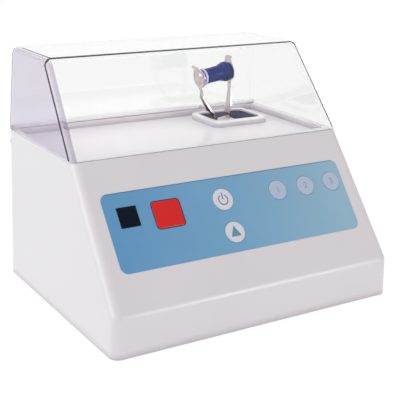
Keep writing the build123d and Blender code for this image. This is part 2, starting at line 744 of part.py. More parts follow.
def spring_arm(side):
    """Sprung arm above its flex line: channelled leg, narrow neck, dished clip and flared lip."""
    inner_end = capsule_offset + side * (capsule_length / 2 + clip_clearance)
    clip_u = inner_end + side * arm_thickness / 2
    leg_u = clip_u - side * 0.2
    bend_w = arm_flex_w + 1.5
    leg_top = capsule_height - clip_radius - 7.0
    points = [
        (side * arm_root_offset, arm_flex_w + 0.15),
        (side * arm_root_offset, bend_w),
        (leg_u, leg_top),
        (clip_u, capsule_height - clip_radius - 1.5),
    ]
    leg = strip(points[:3], arm_width)
    neck = strip(points[2:], 3.2)
    disc = Pos(clip_u, 0, capsule_height) * Rot(0, 90, 0) * Cylinder(clip_radius, arm_thickness)
    disc += strip([points[3], (clip_u, capsule_height)], 3.2)
    bulge = Pos(clip_u + side * 0.9, 0, capsule_height) * Rot(0, 90, 0) * Cylinder(4.6, 1.4)
    hollow = Pos(clip_u + side * 0.3, 0, capsule_height) * Rot(0, 90, 0) * Cylinder(3.8, 1.8)
    lip_w = capsule_height + clip_radius - 1.2
    lip = strip([(clip_u, lip_w - 3), (clip_u, lip_w), (clip_u + side * lip_flare[side], lip_w + 5.0)], 7.5)
    arm = leg + neck + disc + bulge + lip - hollow

    # folded edges of the leg, standing outwards
    foot = Vector(side * arm_root_offset, bend_w)
    knee = Vector(leg_u, leg_top)
    along = (knee - foot).normalized()
    outward = Vector(side * along.Y, -side * along.X)
    fold_line = [
        foot + along * 2.5,
        foot + along * 5.5 + outward * fold_height,
        knee - along * 1.5 + outward * fold_height,
        knee,
    ]
    fold_face = Plane.XZ * Polygon(*[(spot.X, spot.Y) for spot in fold_line], align=None)
    for edge in (-1, 1):
        low_v, high_v = sorted((edge * (arm_width / 2 - fold_thickness), edge * arm_width / 2))
        arm += Pos(0, (low_v + high_v) / 2, 0) * extrude(fold_face, (high_v - low_v) / 2, both=True)
    return fork_plane.location * arm


def arm_roots():
    """The arms' clamped ends, up to the line where the arms flex."""
    shapes = []
    for side in (-1, 1):
        middle = side * arm_root_offset
        root = strip([(middle, yoke_top - arm_root_depth + 0.1), (middle, arm_flex_w - 0.15)], arm_width)
        for w in arm_screw_heights:
            root -= rod_x(small_screw_radius + 0.1, -20, 20, 0, w)
        shapes.append(fork_plane.location * root)
    return together(shapes)


lip_flare = {-1: 3.6, 1: 1.6}
fold_height = 1.8
fold_thickness = 0.7
arm_flex_w = yoke_top + 1.5

add("fork_bearing", bearing())
add("fork_yoke", fork_yoke())
add("arm_roots", arm_roots())
add("arm_screws", arm_screws())
add("left_arm", spring_arm(-1))
add("right_arm", spring_arm(1))


def capsule_span(radius, low, high):
    """Round length on the capsule's axis, measured from its left end."""
    left = capsule_offset - capsule_length / 2
    return fork_plane.location * rod_x(radius, left + low, left + high, 0, capsule_height)


def capsule_body():
    """Capsule: barrel, raised band, and a wide flange at its closed right end."""
    body = capsule_span(capsule_radius, 3.0, capsule_length)
    body += capsule_span(capsule_radius + 0.5, capsule_length - 9, capsule_length - 7.6)
    body += capsule_span(flange_radius, capsule_length - flange_width, capsule_length - 0.6)
    body += capsule_span(6.4, capsule_length - flange_width - 2.6, capsule_length - flange_width + 0.5)
    body -= capsule_span(capsule_radius - 1.1, 2.0, capsule_length - 2.0)
    return body


def capsule_plunger():
    """Pale plunger that closes the left end."""
    plunger = capsule_span(plunger_radius, 0, 2.9)
    plunger += capsule_span(capsule_radius - 1.2, 2.5, 9.0)
    return plunger - capsule_span(3.6, -1, 1.0)


add("capsule_body", capsule_body())
add("capsule_plunger", capsule_plunger())


# ---------------------------------------------------------------- lid
def lid_block(inset, z_low, z_high):
    """The lid's shape, moved inwards by inset."""
    angle = atan2(lid_height, lid_slope_run)
    shift = inset / sin(angle)

    def slope_y(z):
        return lid_front_y + shift + (z - lid_bottom_z) / tan(angle)

    rear = lid_rear_y - inset
    profile = [(slope_y(z_low), z_low), (slope_y(z_high), z_high), (rear, z_high), (rear, z_low)]
    lean = tan(radians(lid_lean))
    low_half = lid_half_width - inset - (z_low - lid_bottom_z) * lean
    block = cut_profile(profile, housing_width) & leaning_sides(low_half, z_low, z_high, lean)
    bottom = block.faces().sort_by(Axis.Z)[0]
    kept = [edge for edge in block.edges() if edge.center().Z > bottom.center().Z + 1]
    return fillet(kept, lid_edge_radius - inset)


def lid_shell():
    shell = lid_block(0, lid_bottom_z, lid_top_z)
    shell -= lid_block(lid_wall, lid_bottom_z - 5, lid_top_z - lid_wall)
    for x in bar_screw_places:
        shell -= rod_y(small_screw_radius + 0.05, lid_rear_y - 6, lid_rear_y + 1, x, bar_middle_z)
    return shell


bar_low_z = lid_bottom_z + 0.2
bar_middle_z = bar_low_z + bar_height / 2
bar_rear_y = lid_rear_y - lid_wall - 0.02
bar_front_y = bar_rear_y - bar_depth
bar_screw_x = half_width - 35.0
bar_screw_places = (-bar_screw_x, 0.0, bar_screw_x)
magnet_x = half_width - 55.0
magnet_radius = 1.5


def magnet_room(z_low):
    """The stretch of the bar that may hold the magnet, from z_low up."""
    reach = (bar_front_y - 2, bar_front_y + 3)
    return box((magnet_x - 5, magnet_x + 5), reach, (z_low, bar_low_z + bar_height))


def hinge_bar():
    """Bar along the foot of the lid's rear wall, with a lug down to each hinge pin."""
    end_x = lug_outer_x - 0.3
    bar = box((-end_x, end_x), (bar_front_y, bar_rear_y), (bar_low_z, bar_low_z + bar_height))
    bar &= lid_block(lid_wall + 0.05, lid_bottom_z - 5, lid_top_z - lid_wall)
    for side in (-1, 1):
        span = sorted((side * lug_inner_x, side * lug_outer_x))
        inner_span = sorted((side * lug_inner_x, side * (lid_half_width - lid_wall - 0.3)))
        knee = box(inner_span, (hinge_y - lug_radius, hinge_y + 1.6), (rim_z - 1, bar_low_z + bar_height / 2))
        bar += knee & lid_block(lid_wall + 0.05, lid_bottom_z - 5, lid_top_z - lid_wall)
        bar += box(span, (hinge_y - lug_radius, hinge_y + 1.6), (hinge_z, rim_z - 0.6))
        bar += rod_x(lug_radius, *span, hinge_y, hinge_z)
        bar -= rod_x(hinge_pin_radius + hinge_bore_clearance, span[0] - 1, span[1] + 1, hinge_y, hinge_z)
    for x in bar_screw_places:
        bar -= rod_y(small_screw_radius + 0.05, bar_rear_y - 3.6, bar_rear_y + 1, x, bar_middle_z)
    pocket = rod_y(magnet_radius + 0.02, bar_front_y - 1, bar_front_y + 2.5, magnet_x, bar_middle_z - 0.6)
    bar -= pocket & magnet_room(bar_low_z - 1)
    return bar


def hinge_pins():
    shapes = []
    for side in (-1, 1):
        shank = sorted((side * (lug_inner_x - 8.8), side * (lug_outer_x + 0.5)))
        head = sorted((side * (lug_outer_x + 0.25), side * (lug_outer_x + 1.4)))
        pin = rod_x(hinge_pin_radius, *shank, hinge_y, hinge_z)
        pin += rod_x(pin_head_radius, *head, hinge_y, hinge_z)
        shapes.append(pin)
    return together(shapes)


def bar_screws():
    shapes = []
    for x in bar_screw_places:
        shank = rod_y(small_screw_radius, bar_rear_y - 3.4, lid_rear_y - 1.2, x, bar_middle_z)
        shapes.append(shank)
    return together(shapes)


add("lid_shell", lid_shell())
add("hinge_bar", hinge_bar())
add("hinge_pins", hinge_pins())
add("hinge_bar_screws", bar_screws())
add("lid_magnet", rod_y(magnet_radius, bar_front_y + 0.1, bar_front_y + 2.4, magnet_x, bar_middle_z - 0.6)
    & magnet_room(bar_low_z + 0.05))
add("reed_sensor", box((magnet_x - 7, magnet_x + 7), (rear_y - wall - 3.4, rear_y - wall - 0.1),
                       (ceiling_z - 3.2, ceiling_z - 0.1)))


# ---------------------------------------------------------------- front panel pieces
def panel_overlay():
    overlay = on_panel(overlay_outline(), -overlay_sink + 0.02, -overlay_sink + overlay_thickness)
    overlay -= on_panel(window_outline(0), -5, 5)
    overlay -= on_panel(Pos(badge_x, badge_s) * Rectangle(badge_size + 0.1, badge_size + 0.1), -5, 5)
    for name, x, s, radius in buttons:
        overlay -= panel_disc(x, s, radius + button_clearance, -5, 5)
    return overlay


def display_window():
    return on_panel(window_outline(window_clearance), -wall + 0.2, window_proud)


def button_cap(x, s, radius):
    """Key cap: domed disc, a collar that stops it under the panel, and a stem to its switch."""
    cap = panel_disc(x, s, radius, -wall - 0.6, button_proud)
    cap = fillet(cap.faces().sort_by(Axis((0, 0, 0), panel.z_dir))[-1].edges(), 0.35)
    cap += panel_disc(x, s, radius + 1.2, -wall - 1.5, -wall - 0.1)
    cap += panel_disc(x, s, 1.6, -board_setback + switch_height - 1.0, -wall - 1.0)
    return cap


switch_height = 4.0
add("panel_overlay", panel_overlay())
add("display_window", display_window())
add("badge_tile", on_panel(Pos(badge_x, badge_s) * Rectangle(badge_size - 0.1, badge_size - 0.1),
                           -overlay_sink + 0.02, 0.25))
for name, x, s, radius in buttons:
    add(name, button_cap(x, s, radius))

board_right = half_width - 13.0
board_left = -board_right
board_low_s = overlay_low + 1.0
board_high_s = overlay_high + 1.0


def control_board():
    middle = Pos((board_left + board_right) / 2, (board_low_s + board_high_s) / 2)
    board = on_panel(middle * Rectangle(board_right - board_left, board_high_s - board_low_s),
                     -board_setback - board_thickness, -board_setback - 0.02)
    for x, s in board_screw_places:
        board -= panel_disc(x, s, small_screw_radius + 0.2, -board_setback - 5, 0)
    return board


def key_switches():
    """One switch behind each key, with a well that the key's stem presses into."""
    shapes = []
    for name, x, s, radius in buttons:
        body = on_panel(Pos(x, s) * Rectangle(7, 7), -board_setback + 0.02, -board_setback + switch_height)
        body -= panel_disc(x, s, 1.9, -board_setback + 1.5, 0)
        shapes.append(body)
    return together(shapes)


def board_screws():
    shapes = []
    under = -board_setback - board_thickness
    for x, s in board_screw_places:
        screw = panel_disc(x, s, small_screw_radius, under - 0.5, -wall - 1.5)
        screw += panel_disc(x, s, 2.2, under - 1.4, under - 0.02)
        shapes.append(screw)
    return together(shapes)


add("control_board", control_board())
add("key_switches", key_switches())
add("board_screws", board_screws())
display = Pos(window_x, window_s) * Rectangle(window_width - 0.7, window_height - 0.8)
add("display_module", on_panel(display, -board_setback + 0.02, -wall - 0.3))


# ---------------------------------------------------------------- power supply
def power_board():
    board = box(power_board_x, power_board_y, (power_board_z + 0.02, power_board_z + board_thickness))
    for x, y in power_post_places:
        board -= rod_z(1.4, power_board_z - 1, power_board_z + 5, x, y)
    return board


def transformer_core():
    """Laminated core with a window each side of its middle limb."""
    z_low = base_top_z + 0.05
    core = box((transformer_x - core_width / 2, transformer_x + core_width / 2),
               (transformer_y - core_stack / 2, transformer_y + core_stack / 2), (z_low, z_low + core_height))
    for side in (-1, 1):
        x = transformer_x + side * (core_width / 2 - core_limb - core_window / 2)
        core -= box((x - core_window / 2, x + core_window / 2),
                    (transformer_y - core_stack, transformer_y + core_stack),
                    (z_low + core_limb, z_low + core_height - core_limb))
    return core


def transformer_winding():
    """Wound bobbin round the core's middle limb."""
    z_low = base_top_z + 0.05
    half_limb = core_width / 2 - core_limb - core_window
    half_coil = half_limb + core_window - winding_clearance
    coil = box((transformer_x - half_coil, transformer_x + half_coil),
               (transformer_y - winding_depth / 2, transformer_y + winding_depth / 2),
               (z_low + core_limb + winding_clearance, z_low + core_height - core_limb - winding_clearance))
    coil -= box((transformer_x - half_limb - 0.2, transformer_x + half_limb + 0.2),
                (transformer_y - core_stack / 2 - 0.2, transformer_y + core_stack / 2 + 0.2),
                (z_low, z_low + core_height))
    return coil


def capacitors():
    shapes = []
    for x in capacitor_places:
        low = power_board_z + board_thickness + 0.02
        can = rod_z(8.0, low, low + 25, x, power_board_y[0] + 36)
        shapes.append(fillet(can.faces().sort_by(Axis.Z)[-1].edges(), 1.0))
    return together(shapes)


capacitor_places = (power_board_x[0] + 20, power_board_x[0] + 40)
sink_x = power_board_x[1] - 42
sink_width = 30.0
sink_height = 26.0
fin_count = 6
fin_thickness = 2.0


def heat_sink():
    """Finned block for the motor's drive transistor."""
    low = power_board_z + board_thickness + 0.02
    y_low = power_board_y[0] + 20
    sink = box((sink_x, sink_x + sink_width), (y_low, y_low + 4), (low, low + sink_height))
    pitch = (sink_width - fin_thickness) / (fin_count - 1)
    for i in range(fin_count):
        x = sink_x + i * pitch
        sink += box((x, x + fin_thickness), (y_low + 3, y_low + 16), (low, low + sink_height))
    return sink


add("power_board", power_board())
add("transformer_core", transformer_core())
add("transformer_winding", transformer_winding())
add("smoothing_capacitors", capacitors())
add("heat_sink", heat_sink())

# ---------------------------------------------------------------- mains inlet with its fuse drawer
socket_z = inlet_z + 6.0
socket_width = 24.4
socket_height = 16.4
socket_depth = 16.0
drawer_z = inlet_z - 11.5
drawer_width = 20.0
drawer_height = 8.0
drawer_depth = 17.0
inlet_rear_y = rear_y + inlet_flange_thickness


def inlet_socket():
    flange = RectangleRounded(inlet_flange_width, inlet_flange_height, 3)
    flange_outline = Plane.XZ * Pos(inlet_x, inlet_z) * flange
    inlet = Pos(0, inlet_rear_y, 0) * extrude(flange_outline, inlet_flange_thickness - 0.02)
    inlet += box(
        (inlet_x - inlet_body_width / 2, inlet_x + inlet_body_width / 2),
        (rear_y - inlet_body_depth, rear_y + 0.5),
        (inlet_z - inlet_body_height / 2, inlet_z + inlet_body_height / 2),
    )
    socket_outline = Plane.XZ * Pos(inlet_x, socket_z) * RectangleRounded(socket_width, socket_height, 2.5)
    inlet -= Pos(0, inlet_rear_y + 1, 0) * extrude(socket_outline, socket_depth + 1)
    inlet -= box(
        (inlet_x - drawer_width / 2 - 0.3, inlet_x + drawer_width / 2 + 0.3),
        (inlet_rear_y - drawer_depth - 0.4, inlet_rear_y + 1),
        (drawer_z - drawer_height / 2 - 0.3, drawer_z + drawer_height / 2 + 0.3),
    )
    for z in inlet_screw_heights:
        inlet -= rod_y(small_screw_radius + 0.2, rear_y - 1, inlet_rear_y + 1, inlet_x, z)
    for x, z in blade_places:
        inlet -= box((x - 1.05, x + 1.05), (rear_y - inlet_body_depth - 1, rear_y - 5), (z - 2.05, z + 2.05))
    return inlet


blade_places = [(inlet_x - 7, socket_z - 2), (inlet_x + 7, socket_z - 2), (inlet_x, socket_z + 3)]


def inlet_blades():
    """Three contact blades: line, neutral and earth."""
    tip_y = inlet_rear_y - 2.5
    return together([
        box((x - 1, x + 1), (rear_y - inlet_body_depth - 6, tip_y), (z - 2, z + 2)) for x, z in blade_places
    ])


def inlet_screws():
    shapes = []
    for z in inlet_screw_heights:
        screw = rod_y(small_screw_radius, rear_y - 7, inlet_rear_y - 1.0, inlet_x, z)
        shapes.append(screw)
    return together(shapes)


def fuse_drawer():
    """Small tray that holds the fuse, with a finger ledge flush with the inlet."""
    half = drawer_width / 2
    low = drawer_z - drawer_height / 2
    high = drawer_z + drawer_height / 2
    tray = box((inlet_x - half, inlet_x + half), (inlet_rear_y - drawer_depth, inlet_rear_y), (low, high))
    tray -= box((inlet_x - half + 1.4, inlet_x + half - 1.4),
                (inlet_rear_y - drawer_depth + 1.5, inlet_rear_y - 2), (low + 1.2, high + 1))
    tray -= box((inlet_x - 4, inlet_x + 4), (inlet_rear_y - 0.9, inlet_rear_y + 1), (low - 1, low + 2.4))
    return tray


fuse_radius = 2.5
fuse_z = drawer_z - drawer_height / 2 + 1.25 + fuse_radius
add("inlet_socket", inlet_socket())
add("inlet_blades", inlet_blades())
add("inlet_screws", inlet_screws())
add("fuse_drawer", fuse_drawer())
add("fuse", rod_x(fuse_radius, inlet_x - 8.4, inlet_x + 8.4, inlet_rear_y - drawer_depth / 2, fuse_z))

# ---------------------------------------------------------------- write the sub-parts
os.makedirs("parts", exist_ok=True)
for name, shape in nodes.items():
    export_step(shape, f"parts/{name}.step")
print(len(nodes), "sub-parts; hub", hub, "journal axis", cant_axis, "fork up", fork_up)
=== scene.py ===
# %% [markdown]
# # A dental amalgamator, dressed
# This bench-top mixer shakes a small capsule of filling material. A white wedge-shaped housing
# carries a blue key panel. Under a clear hinged lid, two sprung arms hold the capsule.
#
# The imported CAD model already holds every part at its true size, in metres. This script gives each
# part its finish, and rebuilds the ones whose shape needs finer work: the clear lid, the capsule,
# the sprung arms, the display lens, the key symbols, the screws, the feet and the tail spring.

# %% Load the frame
import json
from math import atan2, cos, degrees, pi, radians, sin, sqrt, tan

import bmesh
import bpy
from mathutils import Matrix, Vector


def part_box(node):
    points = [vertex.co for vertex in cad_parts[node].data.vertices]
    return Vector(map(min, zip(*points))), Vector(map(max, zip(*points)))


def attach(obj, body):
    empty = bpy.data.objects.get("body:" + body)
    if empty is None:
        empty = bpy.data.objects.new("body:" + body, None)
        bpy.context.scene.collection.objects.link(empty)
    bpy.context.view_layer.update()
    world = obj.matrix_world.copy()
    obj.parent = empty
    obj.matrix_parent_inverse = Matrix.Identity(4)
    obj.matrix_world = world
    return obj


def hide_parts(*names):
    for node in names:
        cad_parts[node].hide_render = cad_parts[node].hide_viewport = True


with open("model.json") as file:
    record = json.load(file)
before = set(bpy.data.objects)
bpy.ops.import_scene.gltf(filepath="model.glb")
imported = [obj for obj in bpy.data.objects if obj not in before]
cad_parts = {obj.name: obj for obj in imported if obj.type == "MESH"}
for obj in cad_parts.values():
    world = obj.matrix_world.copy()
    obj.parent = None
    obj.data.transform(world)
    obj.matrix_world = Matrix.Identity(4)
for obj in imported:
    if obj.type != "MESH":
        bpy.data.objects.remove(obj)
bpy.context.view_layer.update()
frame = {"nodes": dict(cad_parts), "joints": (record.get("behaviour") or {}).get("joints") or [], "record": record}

nodes = frame["nodes"]
scene = bpy.context.scene
MM = 0.001                      # sizes below are in millimetres, and Blender works in metres

# %% [markdown]
# ## Where the main surfaces are
# New pieces have to sit on the CAD parts, so the script first names the surfaces that they sit on.
# Each value could be typed again from a drawing, but a typed copy goes stale when the CAD changes.
# So whatever a node's box can tell is read from the frame, and only true design sizes are typed.

# %% Measure the frame
def span(node):
    """Lowest and highest corner of a CAD node, in millimetres."""
    low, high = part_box(node)
    return low / MM, high / MM


overlay_low, overlay_high = span("panel_overlay")
lid_low, lid_high = span("lid_shell")
housing_low, housing_high = span("housing_shell")
band_height = 26.2              # the upright band below the sloping panel
slope_rise = 77.8
slope_run = 60.1
slope_angle = atan2(slope_rise, slope_run)
panel_normal = Vector((0, -sin(slope_angle), cos(slope_angle)))
panel_up = Vector((0, cos(slope_angle), sin(slope_angle)))
panel_foot = Vector((0, housing_low.y, housing_low.z + band_height))


def on_panel(x, s, proud=0.0):
    """A point of the sloping panel, in millimetres: x across, s up the slope, proud along its normal."""
    return panel_foot + Vector((x, 0, 0)) + panel_up * s + panel_normal * proud


print("panel slopes at", round(degrees(slope_angle), 1), "degrees")
print("lid from", [round(v, 1) for v in lid_low], "to", [round(v, 1) for v in lid_high])

# %% [markdown]
# ## The camera
# The photograph looks down a little from the left front. Its vanishing points and the lengths of
# the housing's edges gave the place, the turn and the lens. A camera could be aimed with a Track To
# constraint, but three angles in a matrix keep the small roll of a hand-held shot as well.

# %% Camera
camera_place = Vector((-321.33, -524.06, 255.54))
camera_yaw = radians(-31.83)
camera_pitch = radians(17.5)
camera_roll = radians(1.13)
camera_lens = 84.2              # millimetres, on a sensor 36 mm wide

level_out = Vector((sin(camera_yaw), -cos(camera_yaw), 0))
backward = level_out * cos(camera_pitch) + Vector((0, 0, sin(camera_pitch)))
level = Vector((0, 0, 1)).cross(backward).normalized()
upright = backward.cross(level)
rightward = level * cos(camera_roll) + upright * sin(camera_roll)
upward = upright * cos(camera_roll) - level * sin(camera_roll)
camera_turn = Matrix((rightward, upward, backward)).transposed().to_4x4()
camera_data = bpy.data.cameras.new("photo_camera")
camera_data.lens = camera_lens
camera_data.sensor_width = 36.0
camera_data.clip_start = 0.02
camera = bpy.data.objects.new("photo_camera", camera_data)
camera.matrix_world = Matrix.Translation(camera_place * MM) @ camera_turn
scene.collection.objects.link(camera)
scene.camera = camera
print("camera stands", round(camera_place.length), "mm from the middle of the base")

# %% [markdown]
# ## Light
# A catalogue shot like this one is taken in a white tent: light from all round, a large softbox
# overhead and one at the left. Point lamps would give hard shadows and sparks on the clear lid.
# Area lamps are softboxes already, so they do the job. Two low ones fill the panel and the upright
# band below it, and the left one of these is slightly pink, as the photograph's band is.

# %% Lamps
lit_point = Vector((0, 0, 80))


def softbox(name, place, size, power, colour):
    """Square area lamp that faces the middle of the object. Place and size are in millimetres."""
    data = bpy.data.lights.new(name, "AREA")
    data.shape = "SQUARE"
    data.size = size * MM
    data.energy = power
    data.color = colour
    lamp = bpy.data.objects.new(name, data)
    aim = (place - lit_point).to_track_quat("Z", "Y").to_matrix().to_4x4()
    lamp.matrix_world = Matrix.Translation(place * MM) @ aim
    scene.collection.objects.link(lamp)


softbox("top_softbox", Vector((-100, 250, 1300)), 900, 3.2, (1.0, 0.99, 0.99))
softbox("left_softbox", Vector((-1300, 100, 500)), 900, 5.7, (0.96, 1.0, 1.02))
softbox("low_left_fill", Vector((-500, -1300, 100)), 500, 1.5, (1.0, 0.78, 0.93))
softbox("low_right_fill", Vector((700, -1200, 150)), 500, 4.4, (1.0, 0.95, 0.96))

# %% [markdown]
# ## Words for building node trees
# The world, every material and every Geometry Nodes tree below is built from code. Setting one
# socket takes a line, and joining two takes another, so a few small helpers keep the cells short
# enough to read.

# %% Node helpers
def node(tree, kind, inputs=None, **settings):
    """Add a node, set its properties, and set or join its inputs by name or number."""
    made = tree.nodes.new(kind)
    for name, value in settings.items():
        setattr(made, name, value)
    for name, value in (inputs or {}).items():
        if isinstance(value, bpy.types.NodeSocket):
            tree.links.new(value, made.inputs[name])
        else:
            made.inputs[name].default_value = value
    return made


def worked(tree, operation, *values):
    """Result of one sum on numbers or sockets."""
    return node(tree, "ShaderNodeMath", dict(enumerate(values)), operation=operation).outputs[0]


def ranged(tree, value, low, high, to_low=0.0, to_high=1.0, **settings):
    """A value carried over from one range to another, and held at its ends."""
    limits = {"Value": value, "From Min": low, "From Max": high, "To Min": to_low, "To Max": to_high}
    return node(tree, "ShaderNodeMapRange", limits, **settings).outputs["Result"]


def noise(tree, place, scale, detail, distortion=0.0):
    """Grey noise at a place."""
    look = {"Vector": place, "Scale": scale, "Detail": detail, "Distortion": distortion}
    return node(tree, "ShaderNodeTexNoise", look).outputs["Fac"]


def blended(tree, share, first, second):
    """Colour between two others."""
    colours = {0: share, 6: first, 7: second}       # the node's inputs of kind colour
    return node(tree, "ShaderNodeMix", colours, data_type="RGBA").outputs[2]


def xyz(tree, x=0.0, y=0.0, z=0.0):
    """One vector from three numbers or sockets."""
    return node(tree, "ShaderNodeCombineXYZ", {"X": x, "Y": y, "Z": z}).outputs[0]


def new_group(name, kind, inputs, outputs):
    """Empty node group, the sockets that it takes, and its output node."""
    group = bpy.data.node_groups.new(name, kind)
    for label, socket_kind, value in inputs:
        socket = group.interface.new_socket(label, in_out="INPUT", socket_type="NodeSocket" + socket_kind)
        if value is not None:
            socket.default_value = value
    for label, socket_kind in outputs:
        group.interface.new_socket(label, in_out="OUTPUT", socket_type="NodeSocket" + socket_kind)
    return group, node(group, "NodeGroupInput").outputs, node(group, "NodeGroupOutput")


def give(group, given, results):
    """Join the last sockets of a group to its outputs, by name."""
    for name, socket in results.items():
        group.links.new(socket, given.inputs[name])
    print("group", group.name, "has", len(group.nodes), "nodes")


def placed_group(tree, group, inputs):
    """Put a shader group in a material, with this material's own values."""
    return node(tree, "ShaderNodeGroup", inputs, node_tree=group)


print("helpers: node, worked, ranged, noise, blended, xyz, new_group, give, placed_group")

# %% [markdown]
# ## The tent
# The world is the tent. It lights the object at one strength, and the camera sees it as plain white,
# also through the lid. Mirrors see it too, but a tent is open at the front, so its front right, which
# glossy surfaces show to this camera, is darker. Without that dark opening a glossy tile would turn
# grey and steel would look like paper. The strength of what a mirror sees follows the direction of
# the ray, which a world gives as Generated.

# %% World
tent_light = 0.45
opening_strength = 0.1          # how bright mirrors see the tent's open side
opening_towards = Vector((0.5, -0.85, 0.15)).normalized()
opening_start = -0.1            # cosines of the angle to the opening's middle
opening_full = 0.6
world = bpy.data.worlds.new("white_tent")
scene.world = world
world.use_nodes = True
tent = world.node_tree
tent.nodes.clear()
rays = node(tent, "ShaderNodeLightPath").outputs
direction = node(tent, "ShaderNodeTexCoord").outputs["Generated"]
towards = node(tent, "ShaderNodeVectorMath", {0: direction, 1: opening_towards}, operation="DOT_PRODUCT")
mirrored = ranged(tent, towards.outputs["Value"], opening_start, opening_full, 1.0, opening_strength,
                  interpolation_type="SMOOTHSTEP")
for_mirror = ranged(tent, rays["Is Glossy Ray"], 0.0, 1.0, tent_light, mirrored)
plain = worked(tent, "MAXIMUM", rays["Is Camera Ray"], rays["Is Transmission Ray"])
for_eye = ranged(tent, plain, 0.0, 1.0, for_mirror, 1.0)
sky = node(tent, "ShaderNodeBackground", {"Color": (1, 1, 1, 1), "Strength": for_eye})
node(tent, "ShaderNodeOutputWorld", {"Surface": sky.outputs[0]})
scene.view_settings.view_transform = "Standard"
print("tent of strength", tent_light, "with an opening of", opening_strength)

# %% [markdown]
# ## The grain of moulded plastic
# A moulded housing is never perfectly even: the steel mould leaves a fine grain, and the gloss
# drifts a little from place to place. A photograph of plastic could be laid on as a texture, but
# noise on Object coordinates has no seams, works at any size and moves with the part. Most parts
# here are moulded, so the effect is one group that each material tunes for itself.

# %% Group: moulded grain
grain_group, taken, given = new_group(
    "moulded_grain", "ShaderNodeTree",
    [("Colour", "Color", (0.8, 0.8, 0.8, 1)), ("Mottle", "Float", 0.02), ("Grain Scale", "Float", 1400.0),
     ("Depth", "Float", 0.1), ("Roughness", "Float", 0.4), ("Gloss Drift", "Float", 0.05)],
    [("Color", "Color"), ("Roughness", "Float"), ("Normal", "Vector")])
place = node(grain_group, "ShaderNodeTexCoord").outputs["Object"]
fine = noise(grain_group, place, taken["Grain Scale"], 2.0)
broad = noise(grain_group, place, 22.0, 3.0)
drift = ranged(grain_group, broad, 0.3, 0.7, -1.0, 1.0)
shade = worked(grain_group, "MULTIPLY_ADD", drift, taken["Mottle"], 1.0)
tone = node(grain_group, "ShaderNodeHueSaturation", {"Color": taken["Colour"], "Value": shade})
gloss = worked(grain_group, "MULTIPLY_ADD", drift, taken["Gloss Drift"], taken["Roughness"])
bump = node(grain_group, "ShaderNodeBump", {
    "Strength": taken["Depth"], "Distance": 0.2 * MM, "Height": fine})
give(grain_group, given, {"Color": tone.outputs[0], "Roughness": gloss, "Normal": bump.outputs[0]})

# %% [markdown]
# ## Rolled and turned metal
# Strip, wire and turned bar all carry marks along one direction, left by the rolls or the lathe.
# Anisotropic shading would need tangents on every part. Noise stretched along the marks gives the
# same streaks, in the colour, the gloss and a very shallow bump.

# %% Group: drawn streaks
gloss_streak = 0.08
streak_group, taken, given = new_group(
    "drawn_streaks", "ShaderNodeTree",
    [("Colour", "Color", (0.6, 0.6, 0.6, 1)), ("Stretch", "Vector", (900.0, 900.0, 60.0)),
     ("Contrast", "Float", 0.12), ("Roughness", "Float", 0.3), ("Depth", "Float", 0.08)],
    [("Color", "Color"), ("Roughness", "Float"), ("Normal", "Vector")])
place = node(streak_group, "ShaderNodeTexCoord").outputs["Object"]
stretched = node(streak_group, "ShaderNodeMapping", {"Vector": place, "Scale": taken["Stretch"]})
streaks = noise(streak_group, stretched.outputs[0], 1.0, 4.0)
swing = ranged(streak_group, streaks, 0.3, 0.7, -1.0, 1.0)
shade = worked(streak_group, "MULTIPLY_ADD", swing, taken["Contrast"], 1.0)
tone = node(streak_group, "ShaderNodeHueSaturation", {"Color": taken["Colour"], "Value": shade})
gloss = worked(streak_group, "MULTIPLY_ADD", swing, gloss_streak, taken["Roughness"])
bump = node(streak_group, "ShaderNodeBump", {
    "Strength": taken["Depth"], "Distance": 0.1 * MM, "Height": streaks})
give(streak_group, given, {"Color": tone.outputs[0], "Roughness": gloss, "Normal": bump.outputs[0]})

# %% [markdown]
# ## Handling marks
# Clear and glossy parts show what has touched them: faint smears from fingers and a few hairline
# scratches from wiping. They could be painted by hand, but they carry no meaning here, so a mask
# from two noises is enough. It only lifts the roughness, because real smears change the gloss and
# hardly the colour.

# %% Group: wiping marks
marks_group, taken, given = new_group(
    "wiping_marks", "ShaderNodeTree",
    [("Base", "Float", 0.05), ("Smear", "Float", 0.06), ("Scratch", "Float", 0.15), ("Scale", "Float", 40.0)],
    [("Roughness", "Float")])
place = node(marks_group, "ShaderNodeTexCoord").outputs["Object"]
smear = noise(marks_group, place, taken["Scale"], 3.0, 0.6)
smear_share = ranged(marks_group, smear, 0.45, 0.75)
combed = node(marks_group, "ShaderNodeMapping", {"Vector": place, "Rotation": (0.3, 0.5, 0.7),
                                                 "Scale": (40.0, 1600.0, 1600.0)})
hair = noise(marks_group, combed.outputs[0], 1.0, 1.0)
hair_share = ranged(marks_group, hair, 0.7, 0.78)
smeared = worked(marks_group, "MULTIPLY_ADD", smear_share, taken["Smear"], taken["Base"])
marked = worked(marks_group, "MULTIPLY_ADD", hair_share, taken["Scratch"], smeared)
give(marks_group, given, {"Roughness": marked})

# %% [markdown]
# ## Families of finish
# The amalgamator has some forty finishes, but they belong to few families: moulded plastic or
# rubber, metal, and glossy plastic. Each family is one function, so a finish is one call with its
# own values. Constant values, such as a coat's strength, are set straight on the shader, where an
# exporter can read them.

# %% Material families
finishes = {}


def new_finish(name):
    """Empty material with its Principled shader, kept under its name."""
    material = bpy.data.materials.new(name)
    material.use_nodes = True
    finishes[name] = material
    return material.node_tree, material.node_tree.nodes["Principled BSDF"]


def feed(tree, group_node, shader):
    """Join a group's outputs to the shader's inputs."""
    for source, target in (("Color", "Base Color"), ("Roughness", "Roughness"), ("Normal", "Normal")):
        if source in group_node.outputs:
            tree.links.new(group_node.outputs[source], shader.inputs[target])


def coated(shader, weight, roughness):
    """Clear coat over a finish."""
    shader.inputs["Coat Weight"].default_value = weight
    shader.inputs["Coat Roughness"].default_value = roughness


